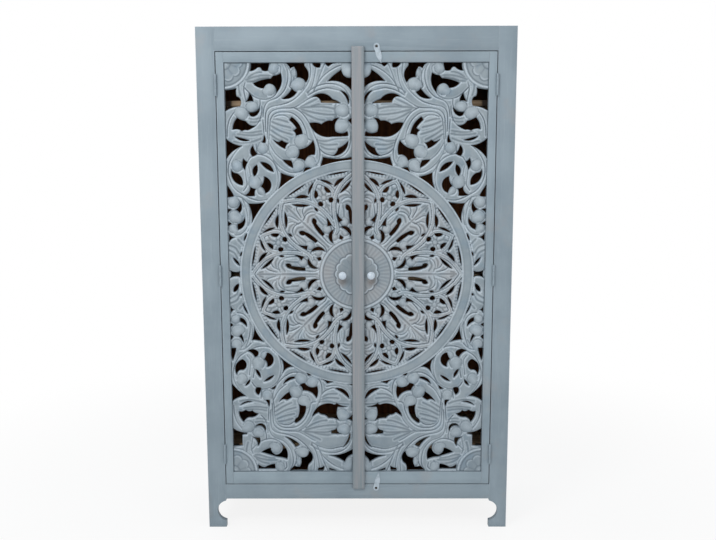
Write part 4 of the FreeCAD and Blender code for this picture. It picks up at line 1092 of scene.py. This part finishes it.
# %% Height of the carving at one place
NO_FORM = -9.0
EDGE_RISE, EDGE_REACH, EDGE_DROP = 8.0, 12, 3.6
BACK_TOP, LINE_DROP, LINE_REACH = 4.1, 3.5, 13
VEE_DEPTH, VEE_REACH, LEAF_DEPTH, LEAF_REACH = 1.1, 2.8, 2.0, 6
BALL_BASE, BALL_RISE, BALL_LOWERING, BALL_TAPER, BALL_FLOW = -1.6, 8.4, 3.8, 0.4, 0.5
FRONT_CREST, BACK_CREST, SHOULDER_DROP, SHOULDER = 5.4, 4.4, 5.5, 5.2
RIM_SOFT = 0.15


def ball_dome(x, z, ball):
    """Height of a round scroll end that grows out of its stem, and how near its middle we are."""
    bx, bz, br, mouth = ball
    along = 0.0
    if mouth is not None:
        mx, mz = math.cos(mouth), math.sin(mouth)
        along = min(BALL_FLOW, max(0.0, ((x - bx) * mx + (z - bz) * mz) / br))
        bx, bz = bx + along * br * mx, bz + along * br * mz
    near = math.hypot(x - bx, z - bz) / (br * (1 - BALL_TAPER * along))
    if near >= 1:
        return NO_FORM, near
    return BALL_BASE + (BALL_RISE - BALL_LOWERING * along) * math.sqrt(1 - near * near), near


def ribbon_form(distance, crest):
    """Height of a ribbon with rounded shoulders."""
    if distance >= HALF:
        return NO_FORM
    return crest - SHOULDER_DROP * (1 - swell(HALF - distance, SHOULDER))


def ribbon_over(x, z):
    """Height of the ribbon that passes over a place, and how far in from its edge that is."""
    front_d, back_d = (tree.find((x, z, 0))[2] for tree in (front_tree, back_tree))
    band = max(ribbon_form(front_d, FRONT_CREST), ribbon_form(back_d, BACK_CREST))
    return band, HALF - (front_d if front_d < HALF else back_d)


def flat_parts(x, z):
    """The ring, the disc and the corner rosettes at one place: how far out it lies, how far from
    their nearest rim, how much they cover it, and their height, cut and ridge there."""
    across, up = x / SQUARE_X, (z - MIDDLE) / (SQUARE_Z * SQUASH)
    out, turn = math.hypot(across, up), math.atan2(up, across)
    edge_z = SIGHT_TOP if z > MIDDLE else SIGHT_BOTTOM
    corner_out = math.hypot(x - SIGHT_OUTER, z - edge_z) / SQUARE_X
    corner_turn = math.atan2(z - edge_z, x - SIGHT_OUTER)
    in_ring = step_up(out, RING_INNER, RIM_SOFT) * (1 - step_up(out, RING_OUTER, RIM_SOFT))
    in_disc = 1 - step_up(out, DISC, RIM_SOFT)
    in_corner = 1 - step_up(corner_out, CORNER, RIM_SOFT)
    forms = ((in_ring, ring_form(out)), (in_disc, disc_form(out, turn)),
             (in_corner, corner_form(corner_out, corner_turn)))
    shaped = [sum(share * form[k] for share, form in forms) for k in range(3)]
    rim_d = min(abs(out - DISC), abs(out - RING_INNER), abs(out - RING_OUTER),
                abs(corner_out - CORNER)) * SQUARE_X
    return out, rim_d, max(in_disc, in_ring, in_corner), shaped


def stem_height(open_d, line_d, leaf_d):
    """Height of stems and leaves: round beside an opening, and cut by the lines."""
    edge = EDGE_RISE * mound(open_d, EDGE_REACH) - EDGE_DROP
    back = BACK_TOP - LINE_DROP * (1 - mound(line_d, LINE_REACH))
    back -= VEE_DEPTH * valley(line_d, VEE_REACH)
    return min(edge, back) - LEAF_DEPTH * valley(leaf_d, LEAF_REACH)


def tool_marks(x, z, rim_at, rim_d, open_d, line_d, leaf_d):
    """Cut and ridge of stems and leaves: painted shade in the cuts and under edges that look down,
    and pale ridges, partly rubbed wear and partly painted highlight, most where they look up."""
    uneven = 0.6 + 0.4 * math.sin(x * 0.05 + 1.7 * math.sin(z * 0.037))
    # upward is near 1 where an edge looks up: more painted highlight there, and painted shade where it
    # looks down.
    upward = max(-1.0, min(1.0, (rim_at.y - z) / (rim_d + 0.5)))
    cut = max(0.35 * valley(open_d, 2.5), 0.85 * uneven * valley(line_d, 3.2),
              0.5 * valley(leaf_d, 4.5), 0.3 * max(0.0, -upward) * bead(rim_d, 1.5, 2.5))
    ridge = bead(rim_d, 3.8, 2.8) * (0.65 + 0.35 * upward) * (1 - 0.8 * valley(leaf_d, 3))
    return cut, max(ridge, 0.5 * bead(leaf_d, 6.5, 2.5))


def carved(x, z):
    """Height over the ground in mm, and the marks cut (painted shade), ridge and warmth, all 0 to 1.
    """
    open_at, _, open_d = opening_tree.find((x, z, 0))
    stem_at, _, stem_d = stem_tree.find((x, z, 0))
    leaf_d = leaf_tree.find((x, z, 0))[2]
    out, beside_d, flat, shaped = flat_parts(x, z)
    line_d = min(stem_d, beside_d)
    dome, near = ball_dome(x, z, balls[ball_tree.find((x, z, 0))[1]])
    height = max(stem_height(open_d, line_d, leaf_d), min(dome, 11.0 * swell(open_d, 7) - 4.5))
    height += 0.5 * math.sin(x * 0.11 + 1.3 * math.sin(z * 0.07)) * math.sin(z * 0.09)
    rim_at, rim_d = (open_at, open_d) if open_d < line_d else (stem_at, line_d)
    cut, ridge = tool_marks(x, z, rim_at, rim_d, open_d, line_d, leaf_d)
    # On a ball: painted shade round its rim and painted highlight on its top.
    if near < 1:
        cut = max(cut * 0.15, 0.45 * bead(near, 0.97, 0.14))
        ridge = max(ridge * 0.5 * near, 0.4 * (1 - near))
    if out < RING_INNER:
        band, shoulder = ribbon_over(x, z)
        if band > height and (out > 16.5 or near > 1):
            height = min(band, 10.5 * swell(open_d, 5) - 4.5)
            # On a ribbon: painted shade at its edges and painted highlight along its shoulders.
            cut, ridge = 0.7 * valley(shoulder, 1.6), 0.9 * bead(shoulder, 2.8, 2.2)
    height, cut, ridge = (v * (1 - flat) + shaped[k] for k, v in enumerate((height, cut, ridge)))
    height -= flat * 1.6 * (1 - swell(open_d, 4))
    warmth = (1 - step_up(out, RING_INNER, 3.0)) * 0.75 + 0.12
    return height, min(1.0, cut), ridge, warmth


for place in (spot(15.6, 64.4), spot(20, 58.5), (KNOB_X, KNOB_Z + 12)):
    print("height at", [round(v) for v in place], "is", round(carved(*place)[0], 2), "mm")


# %% [markdown]
# Now the sheet itself. The triangulation keeps all fixed lines as edges, so the cuts and rims stay
# crisp. The back is flat and needs few faces, and walls join it to the front round each opening.

# %% Triangulate the panel
LATTICE, DISC_LATTICE, SIGHT_STEP = 3.2, 1.8, 4
RIM_SHIFTS = (0.994, 1.006)


def panel_sheet():
    """Points and triangles of the front, flat for now, openings left out."""
    fixed, edges = [], []

    def add(row, closed):
        start = len(fixed)
        fixed.extend(row)
        count = len(row)
        edges.extend((start + i, start + (i + 1) % count)
                     for i in range(count if closed else count - 1))

    add([(BOARD_OUTER, BOARD_BOTTOM), (BOARD_INNER, BOARD_BOTTOM),
         (BOARD_INNER, BOARD_TOP), (BOARD_OUTER, BOARD_TOP)], True)
    sight = []
    corners = [(SIGHT_OUTER, SIGHT_BOTTOM), (SIGHT_INNER, SIGHT_BOTTOM),
               (SIGHT_INNER, SIGHT_TOP), (SIGHT_OUTER, SIGHT_TOP)]
    for a, b in zip(corners, corners[1:] + corners[:1]):
        sight += between(a, b, round(math.dist(a, b) / SIGHT_STEP))
    add(sight, True)
    for row in openings:
        add(row, True)
    for row in stems + ribbon_edges + crisp + leaves + teeth:
        if len(row) > 1:
            add(row, False)
    for row in rims:
        for shift in RIM_SHIFTS:
            add([(x * shift, MIDDLE + (z - MIDDLE) * shift) for x, z in row
                 if x * shift < SIGHT_INNER], False)
    line_tree = tree_of(fixed)
    chance = random.Random(11)
    grid = []
    for gap, in_disc in ((LATTICE, False), (DISC_LATTICE, True)):
        row_gap = gap * math.sqrt(0.75)
        for j in range(1, int((SIGHT_TOP - SIGHT_BOTTOM) / row_gap)):
            for i in range(1, int((SIGHT_INNER - SIGHT_OUTER) / gap)):
                x = SIGHT_OUTER + (i + 0.5 * (j % 2)) * gap + chance.uniform(-0.1, 0.1) * gap
                z = SIGHT_BOTTOM + j * row_gap + chance.uniform(-0.1, 0.1) * gap
                if (math.hypot(x, z - MIDDLE) < (DISC - 0.1) * SQUARE_X) == in_disc:
                    if line_tree.find((x, z, 0))[2] > 0.5 * gap:
                        grid.append((x, z))
    places = [Vector(p) for p in fixed + grid]
    verts, _, faces, *_ = delaunay_2d_cdt(places, edges, [], 0, 1e-4)
    return np.array([tuple(v) for v in verts]), np.array(faces)


def outside_openings(points, triangles):
    """Keep the triangles whose middle lies in no opening."""
    middle = points[triangles].mean(axis=1)
    keep = np.ones(len(triangles), bool)
    for row in openings:
        shape = np.array(row)
        low, high = shape.min(0), shape.max(0)
        near = np.where(((middle > low) & (middle < high)).all(axis=1) & keep)[0]
        x, z = middle[near, 0], middle[near, 1]
        inside = np.zeros(len(near), bool)
        for (ax, az), (bx, bz) in zip(shape, np.roll(shape, -1, axis=0)):
            crosses = (az > z) != (bz > z)
            if crosses.any():
                inside ^= crosses & (x < (bx - ax) * (z - az) / (bz - az + 1e-12) + ax)
        keep[near[inside]] = False
    return triangles[keep]


sheet_points, sheet_triangles = panel_sheet()
sheet_triangles = outside_openings(sheet_points, sheet_triangles)
print("front:", len(sheet_points), "points,", len(sheet_triangles), "triangles")


# %% Raise the front, add the back and the walls
def border_edges(triangles):
    """Edges that only one triangle uses, in that triangle's direction."""
    sides = np.concatenate([triangles[:, [0, 1]], triangles[:, [1, 2]], triangles[:, [2, 0]]])
    key = np.sort(sides, axis=1)
    _, first, count = np.unique(key, axis=0, return_index=True, return_counts=True)
    return sides[first[count == 1]]


# The back's cut mark of 0.9 spreads up the walls of the openings: painted shade, darker towards the
# back.
FLAT_FORM, BACK_MARKS = (0.0, 0.3, 0.0, 0.2), (0.9, 0.0, 0.2)


def doubled_area(a, b, c):
    """Twice the area of a triangle, above 0 where it runs anticlockwise."""
    return (b[0] - a[0]) * (c[1] - a[1]) - (b[1] - a[1]) * (c[0] - a[0])


def panel_shell():
    """Places, marks and faces of the whole left panel: front, flat back and walls."""
    points = [tuple(p) for p in sheet_points]
    front = [t if doubled_area(*(points[i] for i in t)) >= 0 else t[::-1]
             for t in (tuple(t) for t in sheet_triangles.tolist())]
    border = border_edges(np.array(front))
    rim = np.unique(border)
    back_of = {int(v): i for i, v in enumerate(rim)}
    verts, _, faces, *_ = delaunay_2d_cdt(
        [Vector(points[i]) for i in rim], [(back_of[int(i)], back_of[int(j)]) for i, j in border],
        [], 0, 1e-5)
    back = outside_openings(np.array([tuple(v) for v in verts]), np.array(faces)).tolist()
    # The hidden border stays flat
    forms = [carved(x, z) if in_sight(x, z, 0.05) else FLAT_FORM for x, z in points]
    places = [(x, GROUND - form[0], z) for (x, z), form in zip(points, forms)]
    places += [(x, BACK, z) for x, z in (tuple(v) for v in verts)]
    marks = [form[1:] for form in forms] + [BACK_MARKS] * len(verts)
    start = len(points)
    for t in back:
        a, b, c = t if doubled_area(*(verts[i] for i in t)) <= 0 else t[::-1]
        front.append((start + a, start + b, start + c))
    walls = [(int(j), int(i), start + back_of[int(i)], start + back_of[int(j)]) for i, j in border]
    return places, marks, front + walls


def carved_mesh(shell, sign):
    """The left panel's mesh, or with sign -1 its mirror image, which is the right one's."""
    places, marks, polys = shell
    mesh = bpy.data.meshes.new("carving")
    mesh.from_pydata([(x * MM * sign, y * MM, z * MM) for x, y, z in places], [],
                     [p[::sign] for p in polys])
    for k, name in enumerate(("cut", "ridge", "warmth")):
        layer = mesh.attributes.new(name, "FLOAT", "POINT")
        layer.data.foreach_set("value", [m[k] for m in marks])
    return mesh


panel = panel_shell()
for side, sign in (("left", 1), ("right", -1)):
    carving = new_piece(side + "_carving", carved_mesh(panel, sign))
    edit_whole(bpy.ops.mesh.delete_loose, point_outwards)
    smooth(55)
    adopt(carving, side + "_carved_panel", CARVING)
    print(carving.name, "triangles:", sum(len(p.vertices) - 2 for p in carving.data.polygons))

# %% [markdown]
# ## The cover strip
# A plain half-rounded strip hides the meeting line of the doors. Its paint is rubbed down to the
# warm primer over much of its length. A box is stretched to size and its front edges are bevelled
# wide, and the flat land behind that is glued to the right door stays as one more box.

# %% Model the strip
def settle(name, scale=(1, 1, 1)):
    """Name the primitive that was just added, and apply its place and size."""
    piece = bpy.context.object
    piece.name, piece.scale = name, scale
    bpy.ops.object.transform_apply(location=True, rotation=True, scale=True)
    return piece


def new_box(name, low, high):
    """A box from corner to corner, in millimetres."""
    bpy.ops.object.select_all(action="DESELECT")
    middle = [(a + b) / 2 * MM for a, b in zip(low, high)]
    bpy.ops.mesh.primitive_cube_add(size=1, location=middle)
    return settle(name, [(b - a) * MM for a, b in zip(low, high)])


def bevel_edges(box, width, segments, choose):
    """Bevel the edges whose middle passes the choose test."""
    bpy.ops.object.mode_set(mode="EDIT")
    bm = bmesh.from_edit_mesh(box.data)
    bm.select_mode = {"EDGE"}
    for edge in bm.edges:
        a, b = (v.co / MM for v in edge.verts)
        edge.select_set(bool(choose((a + b) / 2, (b - a).normalized())))
    bm.select_flush_mode()
    bmesh.update_edit_mesh(box.data)
    bpy.ops.mesh.bevel(offset=width * MM, segments=segments, profile=0.5, affect="EDGES")
    bpy.ops.object.mode_set(mode="OBJECT")


def join(pieces, name):
    pick(*pieces)
    bpy.ops.object.join()
    made = bpy.context.object
    made.name = name
    smooth(40)
    return made


def strip_paint():
    f = Finish("strip_paint")
    streaks = f.noise(420, (1, 1, 0.02), 4, 0.6)
    broad = f.noise(60, (1, 1, 0.04), 3)
    primer = (broad * 0.6 + streaks * 0.4).ramp(0.35, 0.65)
    colour = f.blend(srgb(128, 139, 145), srgb(149, 149, 152), primer)
    colour = f.blend(colour, srgb(170, 177, 181), streaks.ramp(0.62, 0.8) * 0.4)
    return f.finish(colour, 0.6 + (streaks - 0.5) * 0.2, streaks, 0.2, 0.5)


strip_low, strip_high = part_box("cover_strip")
STRIP_LOW, STRIP_HIGH = (-16.5, -199.8, 150.5), (27, -187.8, 1733)
LAND_LOW, LAND_HIGH = (1.6, -188.0, 168.2), (15.4, -187.5, 1715.3)
AT_FRONT = -199.0
strip = new_box("cover_strip_painted", STRIP_LOW, STRIP_HIGH)
bevel_edges(strip, 6.5, 7, lambda m, d: abs(d.z) > 0.9 and m.y < AT_FRONT)
bevel_edges(strip, 7.5, 4, lambda m, d: abs(d.z) < 0.5 and m.y < AT_FRONT and not (
    STRIP_LOW[2] + 0.5 <= m.z <= STRIP_HIGH[2] - 0.5))
strip = join((strip, new_box("strip_land", LAND_LOW, LAND_HIGH)), "cover_strip_painted")
adopt(strip, "cover_strip", strip_paint())
print("strip box in mm:", [round(v / MM, 1) for v in (*strip_low, *strip_high)])

# %% [markdown]
# ## Knobs
# Each knob is turned from one piece: a foot on the medallion, a thin neck, a full round
# belly and a flattened face. That is a profile spun about its axis. The profile is drawn as a
# row of points from foot to face and spun in 40 steps, and the seam is merged.

# %% Turn one knob and copy it
KNOB_PROFILE = ((8, 0.3), (8, 1.6), (6.6, 2.9), (5.6, 5.2), (5.6, 7.2), (7.4, 9.2), (10.4, 11.2),
                (13, 14), (14, 17), (13.9, 20), (12.7, 23), (10.3, 25.4), (6.6, 27.2), (3, 27.9))
SEAT_Y = -184.5


def turned(name, profile, x, y, z, steps=40):
    """A closed piece turned about a line along Y. The profile is (radius, reach forward)."""
    places = [(0, profile[0][1])] + list(profile) + [(0, profile[-1][1])]
    mesh = bpy.data.meshes.new(name)
    mesh.from_pydata([((x + r) * MM, (y - h) * MM, z * MM) for r, h in places],
                     [(i, i + 1) for i in range(len(places) - 1)], [])
    piece = new_piece(name, mesh)
    edit_whole(lambda: bpy.ops.mesh.spin(steps=steps, angle=math.tau, axis=(0, 1, 0),
                                         center=(x * MM, y * MM, z * MM)),
               lambda: merge(0.01), point_outwards)
    smooth(50)
    return piece


def knob_paint():
    f = Finish("knob_paint")
    rings = f.noise(500, (1, 0.2, 1), 3)
    rub = f.noise(120, detail=4).ramp(0.45, 0.7)
    colour = f.blend(srgb(196, 208, 219), srgb(224, 231, 238), rub * 0.8)
    colour = f.blend(colour, srgb(110, 118, 126), f.noise(300, detail=5).ramp(0.62, 0.72) * 0.5)
    return f.finish(colour, 0.42 + (rings - 0.5) * 0.2, rings, 0.15, 0.4)


KNOB_PAINT = knob_paint()
for side, sign in (("left", 1), ("right", -1)):
    knob = turned(side + "_knob_turned", KNOB_PROFILE, KNOB_X * sign, SEAT_Y, KNOB_Z)
    adopt(knob, side + "_knob", KNOB_PAINT)
print("knob reach in mm:", SEAT_Y - KNOB_PROFILE[-1][1])

# %% [markdown]
# ## Hinges
# Three painted butt hinges hold each door. From the front only the barrels show, with dark lines
# between the knuckles. The leaves stay the solids' own, and the barrels are made round here:
# cylinders with bevelled ends, one knuckle on the door and two on the frame of each hinge.

# %% Knuckles and leaves
HINGE_HEIGHTS, HINGE_HALF = (283.0, 943.0, 1604.5), 37.5
PIVOT_X, PIVOT_Y, KNUCKLE = 484.5, -191.8, 3.9
FRAME_KNUCKLE, DOOR_KNUCKLE_FROM = 24.85, 25.15
FRAME_LEAF_X, DOOR_LEAF_X = (486.0, 487.3), (481.7, 483.0)
WEB_FRONT, LEAF_FRONT, LEAF_BACK = -191.5, -187.5, -167.5


def barrel(x, low, high):
    """A round knuckle with softened ends."""
    bpy.ops.object.select_all(action="DESELECT")
    bpy.ops.mesh.primitive_cylinder_add(
        vertices=32, radius=KNUCKLE * MM, depth=(high - low) * MM,
        location=(x * MM, PIVOT_Y * MM, (low + high) / 2 * MM))
    piece = settle("knuckle")
    bevel_edges(piece, 0.5, 2, lambda m, d: abs(d.z) < 0.5)
    return piece


def hinge_half(sign, leaf_x, knuckles):
    """One side of the three hinges of a door: leaves, and knuckles with the webs behind them."""
    near, far = sorted(sign * x for x in leaf_x)
    pieces = []
    for height in HINGE_HEIGHTS:
        low, high = height - HINGE_HALF, height + HINGE_HALF
        for start, end in knuckles(low, high):
            pieces.append(barrel(sign * PIVOT_X, start, end))
            pieces.append(new_box("web", (near, WEB_FRONT, start), (far, LEAF_FRONT, end)))
        pieces.append(new_box("leaf", (near, LEAF_FRONT, low), (far, LEAF_BACK, high)))
    return pieces


def on_frame(low, high):
    return (low, low + FRAME_KNUCKLE), (high - FRAME_KNUCKLE, high)


def on_door(low, high):
    return ((low + DOOR_KNUCKLE_FROM, high - DOOR_KNUCKLE_FROM),)


for side, sign in (("left", -1), ("right", 1)):
    for part, leaf_x, knuckles in (("frame", FRAME_LEAF_X, on_frame),
                                   ("door", DOOR_LEAF_X, on_door)):
        half = join(hinge_half(sign, leaf_x, knuckles), f"{side}_hinge_{part}_painted")
        adopt(half, f"{side}_hinge_{part}_leaves", PAINTED_IRON)
print("hinges:", 2 * len(HINGE_HEIGHTS))

# %% [markdown]
# ## Turn buttons and screws
# Two small iron turn buttons stand above and below the right door. Each is a flat leaf: a round
# head on its screw and a blade whose tip points over the door edge. Half of the outline is drawn
# along its axis and mirrored, then the plate is extruded and bevelled. The screws have round heads,
# and a thin box cuts the slot out of each.

# %% Model the buttons
PALE_IRON = painted_iron("turn_button_paint", srgb(184, 196, 205), 0.7)
BLADE = ((-10.6, 0), (-9.8, 4), (-7, 8), (0, 10.6), (8, 9.6), (18, 9.3), (27, 9.6), (35, 8.7),
         (43, 6.2), (51, 3.2), (58, 1.2), (60.4, 0))
BUTTON_X, TOP_BUTTON_Z, BOTTOM_BUTTON_Z = 69, 1733.5, 152.5
PLATE_BACK, PLATE_THICK = -187.8, 2.4


def drop_plate(name, z, degrees):
    """A leaf-shaped plate whose tip points along this angle, from +X towards +Z."""
    half = smooth_line(BLADE, 2.0)
    places = half + [(a, -b) for a, b in half[-2:0:-1]]
    cos, sin = math.cos(math.radians(degrees)), math.sin(math.radians(degrees))
    mesh = bpy.data.meshes.new(name)
    mesh.from_pydata([((BUTTON_X + a * cos - b * sin) * MM, PLATE_BACK * MM,
                       (z + a * sin + b * cos) * MM) for a, b in places],
                     [], [tuple(range(len(places)))])
    piece = new_piece(name, mesh)
    move = {"value": (0, -PLATE_THICK * MM, 0)}
    edit_whole(lambda: bpy.ops.mesh.extrude_region_move(TRANSFORM_OT_translate=move),
               point_outwards)
    bevel_edges(piece, 0.7, 3, lambda m, d: m.y < -190 and abs(d.y) < 0.1)
    smooth(40)
    return piece


for place, z, degrees in (("top", TOP_BUTTON_Z, 16 - 90), ("bottom", BOTTOM_BUTTON_Z, 90 - 10)):
    plate = drop_plate(place + "_turn_button_plate", z, degrees)
    adopt(plate, place + "_turn_button", PALE_IRON)
print("button length in mm:", round(BLADE[-1][0] - BLADE[0][0], 1))

# %% Screws of the buttons and bolts of the knobs
SCREW_PROFILE = ((2, -12), (2, 3), (4.6, 3.1), (4.5, 3.9), (3.6, 4.8), (2.2, 5.3))
SCREW_SEAT, SLOT_FRONT, SLOT_BACK, SLOT_LONG, SLOT_WIDE = -187.6, -193.2, -192.0, 3.4, 0.5
screws = []
for z in (TOP_BUTTON_Z, BOTTOM_BUTTON_Z):
    screw = turned("screw", SCREW_PROFILE, BUTTON_X, SCREW_SEAT, z, 24)
    slot_bar = new_box("slot", (BUTTON_X - SLOT_LONG, SLOT_FRONT, z - SLOT_WIDE),
                       (BUTTON_X + SLOT_LONG, SLOT_BACK, z + SLOT_WIDE))
    cutter = screw.modifiers.new("slot", "BOOLEAN")
    cutter.operation, cutter.object, cutter.solver = "DIFFERENCE", slot_bar, "EXACT"
    pick(screw)
    bpy.ops.object.modifier_apply(modifier=cutter.name)
    bpy.data.objects.remove(slot_bar, do_unlink=True)
    screws.append(screw)
adopt(join(screws, "turn_button_screws_slotted"), "turn_button_screws", DARK_STEEL)
for side in ("left", "right"):
    bolt = side + "_knob_bolt"
    rounded_board(bolt, bolt + "_steel", 1, 0.3, DARK_STEEL)
print("screws:", len(screws))

# %% [markdown]
# ## What stays as it is
# The cleats and the corner blocks are plain sawn sticks inside. Their solids are right
# as they are, so they only get their timber.

# %% Timber for the sticks
CLEAT_TIMBER = timber("sawn_cleat_timber", srgb(120, 94, 66), srgb(82, 60, 40), 1, 0.2)
BLOCK_TIMBER = timber("sawn_block_timber", srgb(110, 86, 60), srgb(70, 52, 34), 2, 0.2)
STICKS = ("lower_shelf_cleats", "middle_shelf_cleats", "upper_shelf_cleats", "foot_blocks")
for node in STICKS:
    target = frame["nodes"][node]
    finish = BLOCK_TIMBER if node == "foot_blocks" else CLEAT_TIMBER
    if target.material_slots:
        for holder in target.material_slots:
            holder.material = finish
    else:
        target.data.materials.append(finish)
shown = [o for o in bpy.data.objects if o.type == "MESH" and not o.hide_render]
print("pieces shown:", len(shown), "triangles:",
      sum(sum(len(p.vertices) - 2 for p in o.data.polygons) for o in shown))

# %% [markdown]
# ## Close
# The visual model must stay inside the box of the solids.
